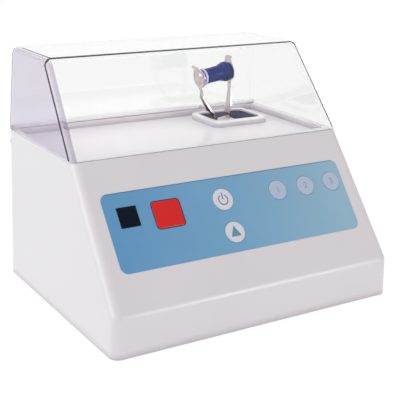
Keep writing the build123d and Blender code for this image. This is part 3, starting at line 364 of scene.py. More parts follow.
def moulded(name, colour, roughness=0.4, depth=0.1, mottle=0.02, grain=1400.0, coat=0.0):
    """Moulded plastic or rubber."""
    tree, shader = new_finish(name)
    grained = placed_group(tree, grain_group, {
        "Colour": (*colour, 1), "Mottle": mottle, "Grain Scale": grain, "Depth": depth,
        "Roughness": roughness})
    feed(tree, grained, shader)
    coated(shader, coat, 0.12)


def metal(name, colour, roughness=0.3, stretch=(900.0, 900.0, 60.0), contrast=0.12, depth=0.08):
    """Bare metal with its drawing, rolling or turning marks."""
    tree, shader = new_finish(name)
    streaked = placed_group(tree, streak_group, {
        "Colour": (*colour, 1), "Stretch": stretch, "Contrast": contrast, "Roughness": roughness,
        "Depth": depth})
    feed(tree, streaked, shader)
    shader.inputs["Metallic"].default_value = 1.0


def glossy(name, colour, base, smear, coat, shine=0.5):
    """Smooth plastic with handling marks."""
    tree, shader = new_finish(name)
    shader.inputs["Base Color"].default_value = (*colour, 1)
    marks = {"Base": base, "Smear": smear, "Scratch": 0.2, "Scale": 60.0}
    feed(tree, placed_group(tree, marks_group, marks), shader)
    shader.inputs["Specular IOR Level"].default_value = shine
    coated(shader, coat, 0.05)


print("families: moulded, metal, glossy")

# %% [markdown]
# ## The floor
# A white sweep of paper lies under the object. To look as white as in a catalogue it would need more
# light than the object can take, so the camera sees most of the paper as plain white, and a share
# of it as lit paper. That share keeps the soft shadow that makes the housing stand on something.

# %% Floor
paper_half = 6000
paper_mesh = bpy.data.meshes.new("white_paper")
paper_reach = paper_half * MM
corners = [(x * paper_reach, y * paper_reach, 0) for x, y in ((-1, -1), (1, -1), (1, 1), (-1, 1))]
paper_mesh.from_pydata(corners, [], [(0, 1, 2, 3)])
paper = bpy.data.objects.new("white_paper", paper_mesh)
scene.collection.objects.link(paper)

white_share = 0.9
glow_strength = 1.08
paper_finish = bpy.data.materials.new("white_paper")
paper_finish.use_nodes = True
tree = paper_finish.node_tree
shader = tree.nodes["Principled BSDF"]
for name, value in (("Base Color", (0.9, 0.9, 0.9, 1)), ("Roughness", 0.9), ("Specular IOR Level", 0.1)):
    shader.inputs[name].default_value = value
glow = node(tree, "ShaderNodeEmission", {"Color": (1, 1, 1, 1), "Strength": glow_strength})
rays = node(tree, "ShaderNodeLightPath").outputs
seen_or_mirrored = worked(tree, "MAXIMUM", rays["Is Camera Ray"], rays["Is Glossy Ray"])
seen_as_white = worked(tree, "MAXIMUM", seen_or_mirrored, rays["Is Transmission Ray"])
share = worked(tree, "MULTIPLY", seen_as_white, white_share)
both = node(tree, "ShaderNodeMixShader", {0: share, 1: shader.outputs[0], 2: glow.outputs[0]})
tree.links.new(both.outputs[0], tree.nodes["Material Output"].inputs["Surface"])
paper_mesh.materials.append(paper_finish)
print("floor is", 2 * paper_half / 1000, "m wide")

# %% [markdown]
# ## The housing, the hinge bar and the base
# The housing is one white ABS moulding, polished enough that the sunk deck mirrors the arms faintly.
# A clear coat over a satin base gives that: at a low angle the coat reflects, and seen straight on
# the plastic looks matt. The grey base plate and the dark tub are rougher, as unseen parts are.

# %% Finishes: mouldings
moulded("housing_white", (0.86, 0.835, 0.85), roughness=0.34, depth=0.05, mottle=0.008, coat=0.35)
moulded("hinge_white", (0.88, 0.87, 0.88), roughness=0.3, depth=0.05, mottle=0.01, coat=0.2)
moulded("base_grey", (0.36, 0.36, 0.38), roughness=0.55, depth=0.35, mottle=0.05, grain=900.0)
moulded("tub_dark", (0.05, 0.042, 0.085), roughness=0.42, depth=0.2, mottle=0.06, grain=1100.0)
moulded("yoke_nylon", (0.7, 0.66, 0.7), roughness=0.42, depth=0.15, mottle=0.03, grain=1800.0)
moulded("inlet_black", (0.018, 0.018, 0.02), roughness=0.45, depth=0.3, mottle=0.08, grain=1300.0)
moulded("component_black", (0.02, 0.02, 0.022), roughness=0.5, depth=0.3, mottle=0.1, grain=2500.0)
moulded("foot_rubber", (0.03, 0.03, 0.032), roughness=0.8, depth=0.6, mottle=0.12, grain=1600.0)
moulded("mount_rubber", (0.022, 0.022, 0.022), roughness=0.85, depth=0.6, mottle=0.12, grain=1600.0)
moulded("ferrite", (0.035, 0.035, 0.04), roughness=0.65, depth=0.5, mottle=0.15, grain=3000.0)
moulded("circuit_green", (0.012, 0.1, 0.035), roughness=0.35, depth=0.25, mottle=0.2, grain=700.0, coat=0.3)
moulded("capacitor_sleeve", (0.02, 0.025, 0.05), roughness=0.3, depth=0.1, mottle=0.05, coat=0.3)
print("mouldings:", len(finishes))

# %% [markdown]
# ## Metals
# Behind the panel and in the tub there are many metals. Each base colour is the metal's own
# reflectance, and what tells them apart is how they were made: drawn wire streaks along its length,
# rolled strip along the strip, and a die-cast bell is duller and blotched rather than streaked.

# %% Finishes: metals
metal("screw_steel", (0.58, 0.57, 0.55), roughness=0.32, stretch=(500.0, 500.0, 500.0), contrast=0.15)
metal("spring_steel", (0.5, 0.5, 0.5), roughness=0.35, stretch=(300.0, 300.0, 300.0), contrast=0.2)
metal("arm_steel", (0.6, 0.52, 0.54), roughness=0.14, stretch=(700.0, 1400.0, 120.0), contrast=0.18,
      depth=0.12)
metal("bearing_steel", (0.66, 0.66, 0.67), roughness=0.16, stretch=(80.0, 1500.0, 1500.0), contrast=0.08)
metal("motor_steel", (0.34, 0.35, 0.37), roughness=0.38, stretch=(60.0, 900.0, 900.0), contrast=0.15)
metal("cradle_steel", (0.5, 0.51, 0.52), roughness=0.36, stretch=(70.0, 900.0, 900.0), contrast=0.18)
metal("cast_bell", (0.55, 0.55, 0.56), roughness=0.5, stretch=(420.0, 420.0, 420.0), contrast=0.2, depth=0.3)
metal("core_steel", (0.2, 0.21, 0.23), roughness=0.5, stretch=(1800.0, 40.0, 1800.0), contrast=0.3, depth=0.4)
metal("copper", (0.72, 0.36, 0.18), roughness=0.3, stretch=(60.0, 2200.0, 2200.0), contrast=0.25, depth=0.4)
metal("journal_brass", (0.72, 0.55, 0.26), roughness=0.28, stretch=(1600.0, 200.0, 200.0), contrast=0.14)
metal("contact_brass", (0.72, 0.66, 0.5), roughness=0.3, stretch=(900.0, 60.0, 900.0), contrast=0.15)
print("finishes so far:", len(finishes))

# %% [markdown]
# ## Glossy plastics
# The red display filter, the dark tile, the keys and the capsule are smooth and glossy, with the
# smears that hands leave. A solid colour under a coat reads as plastic; the marks keep it from
# looking like a perfect computer surface.

# %% Finishes: glossy plastics
glossy("window_red", (0.83, 0.026, 0.024), base=0.16, smear=0.06, coat=0.5)
glossy("badge_dark", (0.003, 0.007, 0.022), base=0.14, smear=0.08, coat=0.3)
glossy("button_white", (0.8, 0.82, 0.9), base=0.34, smear=0.08, coat=0.15)
glossy("button_pale", (0.52, 0.63, 0.81), base=0.36, smear=0.08, coat=0.1)
glossy("capsule_blue", (0.001, 0.01, 0.15), base=0.3, smear=0.05, coat=0.0, shine=0.15)
glossy("capsule_pale", (0.62, 0.62, 0.85), base=0.22, smear=0.05, coat=0.4)
print("finishes so far:", len(finishes))

# %% [markdown]
# ## Shade in the corners
# In the photograph the low walls round the sunk deck are a strong mauve, far darker than the deck
# beside them. Soft shade gathers there. A lamp can't be aimed at a wall 4 mm high, so that shade is
# painted: the white finishes get the Ambient Occlusion node, which says how closed in a point is, and
# upright faces that stand close to another surface take more of a dark mauve in their colour.

# %% Group: corner shade
corner_group, taken, given = new_group(
    "corner_shade", "ShaderNodeTree",
    [("Colour", "Color", (0.8, 0.8, 0.8, 1)), ("Shade", "Color", (0.1, 0.1, 0.1, 1)),
     ("Reach", "Float", 0.005)],
    [("Color", "Color")])
openness = node(corner_group, "ShaderNodeAmbientOcclusion", {"Distance": taken["Reach"]})
closed = worked(corner_group, "SUBTRACT", 1.0, openness.outputs["AO"])
facing = node(corner_group, "ShaderNodeNewGeometry").outputs["Normal"]
rise = node(corner_group, "ShaderNodeSeparateXYZ", {"Vector": facing}).outputs["Z"]
upright_share = worked(corner_group, "SUBTRACT", 1.0, worked(corner_group, "MULTIPLY", rise, rise))
share = worked(corner_group, "MULTIPLY", upright_share, closed)
give(corner_group, given, {"Color": blended(corner_group, share, taken["Colour"], taken["Shade"])})

# %% Corner shade on the white plastics
for name, reach_mm, shade in (
    ("housing_white", 7.0, (0.14, 0.09, 0.14)),
    ("hinge_white", 3.0, (0.2, 0.15, 0.2)),
):
    tree = finishes[name].node_tree
    colour = tree.nodes["Principled BSDF"].inputs["Base Color"]
    shaded = placed_group(tree, corner_group, {
        "Colour": colour.links[0].from_socket, "Shade": (*shade, 1), "Reach": reach_mm * MM})
    tree.links.new(shaded.outputs["Color"], colour)
    print(name, "darkens within", reach_mm, "mm of a corner")

# %% [markdown]
# ## The printed overlay
# The blue field is ink printed under a thin polyester film, and the film's fine satin texture breaks
# up the reflections. The blue is painted a little deeper at the left and lighter at the right, which
# is painted shading for the light falling unevenly across the panel. The change of tone is a gradient
# along X of the part itself, so it stays put from every side. Along the top edge, where the film meets
# the housing, a thin darker line is painted shade: the shade under the step of the housing above it.

# %% Finish: overlay
# painted shade: a thin darker band along the film's top edge, for the shade under the housing's step
painted_shade_line_height = 0.8
painted_shade_line_share = 0.8
painted_shade_line_colour = (0.05, 0.13, 0.3, 1)
# painted shading: the blue turns deeper towards the left and lighter towards the right
ink_stops_with_painted_shade = {0.0: (0.14, 0.38, 0.66, 1), 0.5: (0.22, 0.47, 0.7, 1), 1.0: (0.36, 0.58, 0.72, 1)}
tree, shader = new_finish("overlay_blue")
place = node(tree, "ShaderNodeTexCoord").outputs["Object"]
spot = node(tree, "ShaderNodeSeparateXYZ", {"Vector": place}).outputs
share = ranged(tree, spot["X"], overlay_low.x * MM, overlay_high.x * MM)
ink = node(tree, "ShaderNodeValToRGB", {"Fac": share})
stops = ink.color_ramp.elements
stops[0].color = ink_stops_with_painted_shade[0.0]
stops[1].color = ink_stops_with_painted_shade[1.0]
middle_ink = stops.new(0.5)
middle_ink.color = ink_stops_with_painted_shade[0.5]
rim = ranged(tree, spot["Z"], (overlay_high.z - painted_shade_line_height) * MM, overlay_high.z * MM, 0.0, painted_shade_line_share)
ink_with_shade_line = blended(tree, rim, ink.outputs["Color"], painted_shade_line_colour)
grained = placed_group(tree, grain_group, {
    "Colour": ink_with_shade_line, "Mottle": 0.02, "Grain Scale": 2600.0, "Depth": 0.06, "Roughness": 0.36})
feed(tree, grained, shader)
coated(shader, 0.15, 0.15)
print("overlay ink runs over", round(overlay_high.x - overlay_low.x), "mm")

# %% [markdown]
# ## The clear lid
# The lid is one acrylic moulding, 2 mm thick. Light passes it almost unchanged, and a clear part
# shows mainly by its reflections, which grow at low angles, and by its rounded edges, which bend
# dark surroundings into thin lines. Plain transparency would give neither, so the shader refracts,
# and a Light Path switch lets shadow rays pass, so that the deck inside stays lit. The left wall and
# its edges look lavender in the photograph, so they get two darker tints of painted shade: a white
# tent holds nothing dark or coloured for them to bend into view.

# %% Finish: clear plastic
acrylic_ior = 1.49
acrylic_shine = 0.2


def clear_plastic(name, tint, base_roughness):
    """Clear plastic or glass that lets the lamps' shadow rays through."""
    tree, shader = new_finish(name)
    for label, value in (("Base Color", (*tint, 1)), ("Transmission Weight", 1.0), ("IOR", acrylic_ior),
                         ("Specular IOR Level", acrylic_shine)):
        shader.inputs[label].default_value = value
    marks = {"Base": base_roughness, "Smear": 0.015, "Scratch": 0.05, "Scale": 30.0}
    feed(tree, placed_group(tree, marks_group, marks), shader)
    half_tint = [0.5 + 0.5 * channel for channel in tint]
    through = node(tree, "ShaderNodeBsdfTransparent", {"Color": (*half_tint, 1)})
    in_shadow = node(tree, "ShaderNodeLightPath").outputs["Is Shadow Ray"]
    switch = node(tree, "ShaderNodeMixShader", {0: in_shadow, 1: shader.outputs[0], 2: through.outputs[0]})
    tree.links.new(switch.outputs[0], tree.nodes["Material Output"].inputs["Surface"])


clear_plastic("lid_clear", (0.965, 0.97, 0.965), 0.01)
# painted shade: darker tints of the same acrylic for the left wall and its rounded edges
clear_plastic("lid_side", (0.68, 0.64, 0.73), 0.02)
clear_plastic("lid_edge", (0.62, 0.58, 0.66), 0.03)
clear_plastic("fuse_glass", (0.95, 0.97, 0.97), 0.02)
print("finishes:", len(finishes))

# %% [markdown]
# ## Finishes for the CAD parts
# Every CAD part arrives with the material slot that its drawing names, so one loop can dress them
# all. Parts that are rebuilt further down get the same finishes by the same names.

# %% Dress the CAD nodes
slot_of = {part["node"]: part["material_slot"] for part in frame["record"]["subparts"]}
for name, part in nodes.items():
    finish = finishes[slot_of[name]]
    for i in range(max(1, len(part.material_slots))):
        if i < len(part.material_slots):
            part.material_slots[i].material = finish
        else:
            part.data.materials.append(finish)
print("dressed", len(nodes), "CAD parts in", len(set(slot_of.values())), "finishes")

# %% [markdown]
# ## How a piece is added
# The CAD solids give every part its place and size. Where the photograph shows a softer or finer
# shape than they have, the script makes a piece of its own. Each one is built in millimetres,
# baked to a plain mesh, shaded smooth except at real corners, and hung on the body that carries it.
# Modifiers could stay live on the objects, but a baked mesh looks the same in every program.

# %% Piece helpers
def reach(name, origin, direction):
    """How far a CAD node reaches from a point along a direction, in millimetres: lowest and highest."""
    ways = [(vertex.co / MM - origin).dot(direction) for vertex in nodes[name].data.vertices]
    return min(ways), max(ways)


def mesh_from(name, points, faces):
    """Mesh from points in millimetres."""
    made = bpy.data.meshes.new(name)
    made.from_pydata([point * MM for point in points], [], faces)
    return made


def baked(mesh, *steps):
    """Plain mesh after these modifiers. Each step is a modifier's kind and its settings."""
    thing = bpy.data.objects.new("in_work", mesh)
    scene.collection.objects.link(thing)
    for kind, settings in steps:
        modifier = thing.modifiers.new(kind.lower(), kind)
        for name, value in settings.items():
            setattr(modifier, name, value)
    graph = bpy.context.evaluated_depsgraph_get()
    ready = thing.evaluated_get(graph)
    made = bpy.data.meshes.new_from_object(ready, preserve_all_data_layers=True, depsgraph=graph)
    bpy.data.objects.remove(thing)
    return made


def softened(mesh, sharp_from=35):
    """Smooth shading, with a sharp edge wherever two faces meet at more than this many degrees."""
    mesh.shade_smooth()
    mesh.set_sharp_from_angle(angle=radians(sharp_from))
    return mesh


def piece(name, mesh, finish, body, *stands_for):
    """Object with a finish, riding on a body, and shown in place of CAD nodes."""
    mesh.name = name
    if not mesh.materials:
        mesh.materials.append(finishes[finish])
    thing = bpy.data.objects.new(name, mesh)
    scene.collection.objects.link(thing)
    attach(thing, body)
    if stands_for:
        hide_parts(*stands_for)
    print(name, "has", len(mesh.polygons), "faces and rides on", body)


# %% [markdown]
# ## The clear lid, as a shape
# On the real device this is one injection-moulded shell: a sloping front, a flat top, leaning side
# walls, generous outside corners and no bottom. The CAD solid has that shape too, but its large
# triangles share corner normals with the small ones round the edges. Opaque parts hide that. Clear
# ones don't: they bend what lies behind them as a lens would.
#
# So the lid is drawn again from eight corners. A Bevel modifier rounds the edges, with a weight for
# each edge that keeps the same radius where the walls meet at a flat angle. Solidify gives the wall
# its 2 mm. Weighted normals then keep every large face optically flat.

# %% Clear lid
lid_slope_run = 46.0
lid_side_lean = radians(4.3)
lid_wall = 2.0
lid_edge_radius = 5.0
lid_rise = lid_high.z - lid_low.z
top_half_width = lid_high.x - lid_rise * tan(lid_side_lean)
top_front_y = lid_low.y + lid_slope_run


def lid_ring(x_reach, y_reach, z):
    """Four corners at one height, going round from the front left."""
    return [Vector((x_reach[0], y_reach[0], z)), Vector((x_reach[1], y_reach[0], z)),
            Vector((x_reach[1], y_reach[1], z)), Vector((x_reach[0], y_reach[1], z))]


lid_corners = lid_ring((lid_low.x, lid_high.x), (lid_low.y, lid_high.y), lid_low.z)
lid_corners += lid_ring((-top_half_width, top_half_width), (top_front_y, lid_high.y), lid_high.z)
lid_faces = [(i, (i + 1) % 4, 4 + (i + 1) % 4, 4 + i) for i in range(4)] + [(4, 5, 6, 7)]
lid_mesh = mesh_from("clear_lid", lid_corners, lid_faces)

shape = bmesh.new()
shape.from_mesh(lid_mesh)
weight = shape.edges.layers.float.new("bevel_weight_edge")
for edge in shape.edges:
    if len(edge.link_faces) == 2:
        edge[weight] = tan(edge.calc_face_angle() / 2)
shape.to_mesh(lid_mesh)
shape.free()
lid_mesh = baked(
    lid_mesh,
    ("BEVEL", {"limit_method": "WEIGHT", "width": lid_edge_radius * MM, "segments": 8}),
    ("SOLIDIFY", {"thickness": lid_wall * MM, "offset": -1.0, "use_even_offset": True,
                  "use_quality_normals": True}),
)
print("lid is", round(lid_rise, 1), "mm high with", len(lid_mesh.polygons), "faces before its screw holes")

# %% [markdown]
# Three small screws hold the hinge bar to the lid's rear wall. Their holes are cut with a Boolean,
# from the places of the CAD screws. Without the holes the screws would stand inside solid plastic,
# and clear plastic shows that.
#
# Two helpers serve here and later: one finds the separate solids of a CAD part, such as its screws,
# and the other turns a profile round an axis, as a lathe does.

# %% Solids of a part, and turned shapes
def solids_of(name):
    """Boxes of the separate solids in a CAD node, in millimetres: lowest and highest corners."""
    work = bmesh.new()
    work.from_mesh(nodes[name].data)
    bmesh.ops.remove_doubles(work, verts=work.verts, dist=1e-6)
    waiting = set(work.verts)
    boxes = []
    while waiting:
        group = [waiting.pop()]
        for vertex in group:
            for edge in vertex.link_edges:
                other = edge.other_vert(vertex)
                if other in waiting:
                    waiting.discard(other)
                    group.append(other)
        places = [vertex.co / MM for vertex in group]
        low = Vector([min(place[i] for place in places) for i in range(3)])
        high = Vector([max(place[i] for place in places) for i in range(3)])
        boxes.append((low, high))
    work.free()
    return sorted(boxes, key=lambda box: tuple(box[0]))


def turned(name, profile, start, direction, segments=64):
    """Turned shape: a closed profile of (distance along the axis, radius), both in millimetres."""
    across = direction.orthogonal().normalized()
    around = direction.cross(across)
    points = []
    faces = []
    rings = []
    for along, radius in profile:
        middle = start + direction * along
        if radius == 0:
            rings.append([len(points)])
            points.append(middle)
            continue
        rings.append(list(range(len(points), len(points) + segments)))
        for i in range(segments):
            turn = 2 * pi * i / segments
            points.append(middle + (across * cos(turn) + around * sin(turn)) * radius)
    for first, second in zip(rings, rings[1:]):
        for i in range(segments):
            j = (i + 1) % segments
            corners = [first[i % len(first)], first[j % len(first)]]
            corners += [second[j % len(second)], second[i % len(second)]]
            faces.append(tuple(dict.fromkeys(corners)))
    made = mesh_from(name, points, faces)
    work = bmesh.new()
    work.from_mesh(made)
    bmesh.ops.recalc_face_normals(work, faces=work.faces)
    work.to_mesh(made)
    work.free()
    return made


print("the hinge bar has", len(solids_of("hinge_bar_screws")), "screws")

# %% Screw holes in the lid
hole_clearance = 0.05
drill_start = lid_high.y - lid_wall - 1.5
drill_length = 5.0
for low, high in solids_of("hinge_bar_screws"):
    radius = (high.x - low.x) / 2 + hole_clearance
    start = Vector(((low.x + high.x) / 2, drill_start, (low.z + high.z) / 2))
    profile = [(0, 0), (0, radius), (drill_length, radius), (drill_length, 0)]
    cutter = bpy.data.objects.new("drill", turned("drill", profile, start, Vector((0, 1, 0)), 24))
    scene.collection.objects.link(cutter)
    lid_mesh = baked(lid_mesh, ("BOOLEAN", {"object": cutter, "operation": "DIFFERENCE", "solver": "EXACT"}))
    bpy.data.objects.remove(cutter)
softened(lid_mesh, 30)
lid_mesh = baked(lid_mesh, ("WEIGHTED_NORMAL", {"keep_sharp": True, "weight": 100}))
print("lid has", len(lid_mesh.polygons), "faces with its holes")

# %% [markdown]
# On the real lid every wall is the same clear acrylic, and what stands beside it colours it. The
# white scene has nothing there, so the left wall and the rounded edges next to it take the darker
# tints, each face by the way it looks: painted shade in place of those dark surroundings.

# %% Finish of the lid
wall_turn = 0.9                 # how far a face must look sideways to count as a side wall
edge_turn = 0.25                # and as one of the rounded edges beside it
rear_margin = 6.0
lid_mesh.materials.clear()
for finish in ("lid_clear", "lid_side", "lid_edge"):
    lid_mesh.materials.append(finishes[finish])
for face in lid_mesh.polygons:
    sideways = abs(face.normal.x)
    if face.center.x >= 0:
        continue
    if sideways > wall_turn:
        face.material_index = 1
    elif sideways > edge_turn and abs(face.center.y / MM - lid_high.y) > rear_margin:
        face.material_index = 2
piece("clear_lid", lid_mesh, "lid_clear", "lid", "lid_shell")

# %% [markdown]
# ## The sprung arms
# Each arm is pressed from one strip of spring steel. It leaves the yoke as a channel, with its
# long edges folded outwards for stiffness, narrows to a neck, widens to a dished disc that centres
# the capsule's end, and ends in a flared lip that guides the capsule in. The photograph shows all
# of these as bright and dark stripes, so their edges matter more than anything else on the fork.
#
# A strip like this follows a rule: at each height it has a place, a width, a fold and a dish. So
# it is made as a grid. Rows run up the arm and columns run across it, and four small functions say
# where each point goes. Solidify gives the sheet its 0.8 mm and a Bevel breaks the cut edges.

# %% The fork's own directions
joint_of = {joint["name"]: joint for joint in frame["joints"]}
hub = Vector(joint_of["fork_spin"]["pos_m"]) / MM
cant_axis = Vector(joint_of["fork_spin"]["axis"]).normalized()
fork_up = Vector(joint_of["capsule_lift"]["axis"]).normalized()
fork_side = fork_up.cross(cant_axis)


def on_fork(u, v, w):
    """A point on the fork: u along the journal, v to the rear, w up along the fork."""
    return hub + cant_axis * u + fork_side * v + fork_up * w


capsule_left = reach("capsule_plunger", hub, cant_axis)[0]
capsule_right = reach("capsule_body", hub, cant_axis)[1]
capsule_up = sum(reach("capsule_plunger", hub, fork_up)) / 2
arm_low = reach("left_arm", hub, fork_up)[0]
arm_high = reach("left_arm", hub, fork_up)[1]
print("capsule is", round(capsule_right - capsule_left, 1), "mm long,", round(capsule_up, 1), "mm up")
print("arms run from", round(arm_low, 2), "to", round(arm_high, 1), "mm above the hub")

# %% Shape of an arm
sheet_thickness = 0.8
strip_half_width = 3.0
neck_half_width = 1.6
clip_radius = 7.4
lip_half_width = 4.2
lip_corner = 1.8                # height over which the lip's tip is rounded
tip_spare = 0.05                # keeps the tip from shrinking to a point
fold_height = 1.8
dish_radius = 4.7
dish_depth = 1.5
dish_slope = 1.8                # width of the dish's sloping rim
rim_curl = 0.45
rim_width = 1.6
root_offset = 5.6
leg_inset = 0.2                 # of the leg's top, from the clip
line_spare = 5.0                # past both ends, so that the rounding has something to read
clip_clearance = 0.3
bend_rounding = 0.9
bend_up = arm_low + 1.4
fold_from = arm_low + 3.5
fold_full = arm_low + 8.0
taper_from = bend_up + 6.0
leg_top = capsule_up - clip_radius - 7.0
neck_top = capsule_up - clip_radius - 1.5
lip_from = capsule_up + 4.0
lip_foot = capsule_up + 3.0
lip_flare = {-1: 4.0, 1: 1.6}
lip_top = {-1: arm_high - 1.8, 1: arm_high - 0.2}


def ramp(value, start, end):
    """0 before start, 1 after end, and a smooth rise in between."""
    share = min(1.0, max(0.0, (value - start) / (end - start)))
    return share * share * (3 - 2 * share)


def between(value, places):
    """Value read off a line through (place, value) points."""
    for (low, first), (high, second) in zip(places, places[1:]):
        if value <= high:
            return first + (second - first) * (value - low) / (high - low)
    return places[-1][1]


def arm_middle(side, w):
    """Where the strip's middle line runs, away from the fork's middle plane."""
    clip_out = (capsule_right if side > 0 else -capsule_left) + clip_clearance + sheet_thickness / 2
    line = [(arm_low - line_spare, root_offset), (bend_up, root_offset), (leg_top, clip_out - leg_inset),
            (neck_top, clip_out), (arm_high + line_spare, clip_out)]
    rounded = sum(between(w + bend_rounding * step / 2, line) for step in range(-2, 3)) / 5
    lip_share = max(0.0, (w - lip_foot) / (lip_top[side] - lip_foot))
    return rounded + lip_flare[side] * lip_share ** 1.5


def arm_half_width(side, w):
    """Half the strip's width at a height: leg, neck, clip or lip."""
    leg = between(w, [(arm_low, strip_half_width), (taper_from, strip_half_width),
                      (leg_top + 1, neck_half_width), (arm_high, neck_half_width)])
    disc = sqrt(max(0.0, clip_radius ** 2 - (w - capsule_up) ** 2))
    past_corner = max(0.0, w - lip_top[side] + lip_corner)
    tip = sqrt(max(0.0, 1 - (past_corner / (lip_corner + tip_spare)) ** 2))
    lip = lip_half_width * tip if w > lip_from else 0.0
    return max(leg if w < capsule_up else 0.0, disc, lip)


def arm_fold(w):
    """Height of the folded edges, which fade out towards the neck."""
    fading = between(w, [(arm_low, 1.0), (taper_from, 1.0), (leg_top, 0.4), (neck_top, 0.0), (arm_high, 0.0)])
    return fold_height * ramp(w, fold_from, fold_full) * fading


def arm_dish(v, w):
    """Bulge of the clip, and the slight curl of its rim."""
    from_middle = sqrt(v * v + (w - capsule_up) ** 2)
    bulge = dish_depth * (1 - ramp(from_middle, dish_radius - dish_slope, dish_radius))
    curl = rim_curl * ramp(from_middle, clip_radius - rim_width, clip_radius)
    return bulge + (curl if w > neck_top else 0.0)


print("strip is", 2 * strip_half_width, "mm wide on the leg and", 2 * clip_radius, "mm on the clip")

# %% Sprung arms
arm_rows = 110
arm_columns = 25
edge_break = 0.14


def arm_sheet(name, side):
    """The strip as a sheet without thickness. Folded edges turn outwards from the capsule."""
    points = []
    faces = []
    for row in range(arm_rows):
        w = arm_low + (lip_top[side] - arm_low) * row / (arm_rows - 1)
        half = arm_half_width(side, w)
        fold = arm_fold(w)
        for column in range(arm_columns):
            share = 2 * column / (arm_columns - 1) - 1
            walked = abs(share) * (half + fold)
            v = min(walked, half) * (1 if share > 0 else -1)
            out = max(0.0, walked - half) + arm_dish(v, w)
            points.append(on_fork(side * (arm_middle(side, w) + out), v, w))
    for row in range(arm_rows - 1):
        for column in range(arm_columns - 1):
            corner = row * arm_columns + column
            faces.append((corner, corner + 1, corner + arm_columns + 1, corner + arm_columns))
    return mesh_from(name, points, faces)


for name, side in (("left_arm", -1), ("right_arm", 1)):
    arm_mesh = baked(
        arm_sheet(name, side),
        ("SOLIDIFY", {"thickness": sheet_thickness * MM, "offset": 0.0, "use_even_offset": False}),
        ("BEVEL", {"width": edge_break * MM, "segments": 2, "limit_method": "ANGLE",
                   "angle_limit": radians(60)}),
    )
    piece("sprung_" + name, softened(arm_mesh, 40), "arm_steel", name, name)

# %% [markdown]
# ## The capsule
# The capsule is a small round moulding: a blue barrel, hardly waisted, with a stepped flange at its
# closed end, and a pale plunger pressed into the other end. It could be stacked from cylinders, but
# real mouldings have no knife edges. A turned profile carries the small chamfers that catch the
# light, and one list of distances along the axis and radii says it all.

# %% Finish: painted shade on the plunger's neck
# painted shade: the plunger's outer end lies in shadow between the clip's dish and its rim
glossy("capsule_neck", (0.11, 0.115, 0.33), base=0.25, smear=0.05, coat=0.3)
print("the plunger's outer end gets a darker blue than its rim")

# %% Capsule
capsule_start = on_fork(capsule_left, 0, capsule_up)
end = capsule_right - capsule_left  # distances below run from the plunger's end to this one
plunger_rim = 6.1
barrel_bore = 4.45
barrel_radius = 5.5
flange_radius = 7.2
plunger_profile = [
    (1.0, 0), (1.0, 3.5), (0.1, 3.8), (0, 4.1), (0, 5.3), (0.2, 5.6), (1.2, 5.6), (1.4, 5.9),
    (1.6, plunger_rim), (2.0, plunger_rim), (2.15, 5.9), (2.3, 5.9), (2.45, plunger_rim),
    (2.75, plunger_rim), (2.9, 5.95), (2.9, barrel_bore), (9.0, barrel_bore), (9.0, 0),
]
plunger_mesh = turned("capsule_plunger", plunger_profile, capsule_start, cant_axis)
shaded_neck_length = 1.3
# the faces nearest the outer end take the painted shade
for finish in ("capsule_pale", "capsule_neck"):
    plunger_mesh.materials.append(finishes[finish])
for face in plunger_mesh.polygons:
    if (face.center / MM - capsule_start).dot(cant_axis) < shaded_neck_length:
        face.material_index = 1
piece("plunger", softened(plunger_mesh, 25), "capsule_pale", "capsule", "capsule_plunger")

body_profile = [
    (8.0, 0), (8.0, 4.5), (3.0, 4.5), (3.0, 5.3), (3.15, 5.6), (3.4, 5.75), (4.1, 5.75), (4.4, 5.6),
    (8.0, 5.48), (11.0, barrel_radius), (end - 6.6, 5.62), (end - 6.2, 6.2), (end - 5.9, 6.4),
    (end - 4.1, 6.4), (end - 3.7, 6.7), (end - 3.4, 7.1), (end - 3.2, flange_radius),
    (end - 0.95, flange_radius), (end - 0.7, 7.1), (end - 0.6, 6.8), (end - 0.6, 5.7), (end - 0.1, 5.6),
    (end, 5.4), (end, 0),
]
body_mesh = turned("capsule_barrel", body_profile, capsule_start, cant_axis, 80)
piece("capsule_barrel", softened(body_mesh, 25), "capsule_blue", "capsule", "capsule_body")

# %% [markdown]
# ## The display lens and the square tile
# Both are small glossy inserts in the overlay: a red filter that stands a little proud, with
# rounded corners, and a flat dark tile. Each is an outline on the sloping panel, drawn out along
# the panel's normal. They could be colour alone, but what makes such inserts look set in, and not
# printed, is the thin chamfer round their face. A Bevel limited by angle cuts it, and leaves the
# shallow steps of the rounded corners alone.

# %% Panel inserts
def across_and_up(name):
    """A CAD node's reach on the panel: lowest and highest x, s and height above the skin."""
    return [reach(name, panel_foot, way) for way in (Vector((1, 0, 0)), panel_up, panel_normal)]


def rounded_outline(x_span, s_span, radius, steps=8):
    """Corners of a rounded rectangle on the panel, going round once."""
    outline = []
    left, right = x_span[0] + radius, x_span[1] - radius
    foot, top = s_span[0] + radius, s_span[1] - radius
    for x, s, start in ((right, top, 0), (left, top, 90), (left, foot, 180), (right, foot, 270)):
        for step in range(steps + 1):
            turn = radians(start + 90 * step / steps)
            outline.append((x + radius * cos(turn), s + radius * sin(turn)))
    return outline


def plate_on_panel(name, outline, low, high):
    """Closed plate with this outline, between two heights above the panel's skin."""
    count = len(outline)
    points = [on_panel(x, s, low) for x, s in outline] + [on_panel(x, s, high) for x, s in outline]
    faces = [tuple(reversed(range(count))), tuple(range(count, 2 * count))]
    faces += [(i, (i + 1) % count, count + (i + 1) % count, count + i) for i in range(count)]
    return mesh_from(name, points, faces)


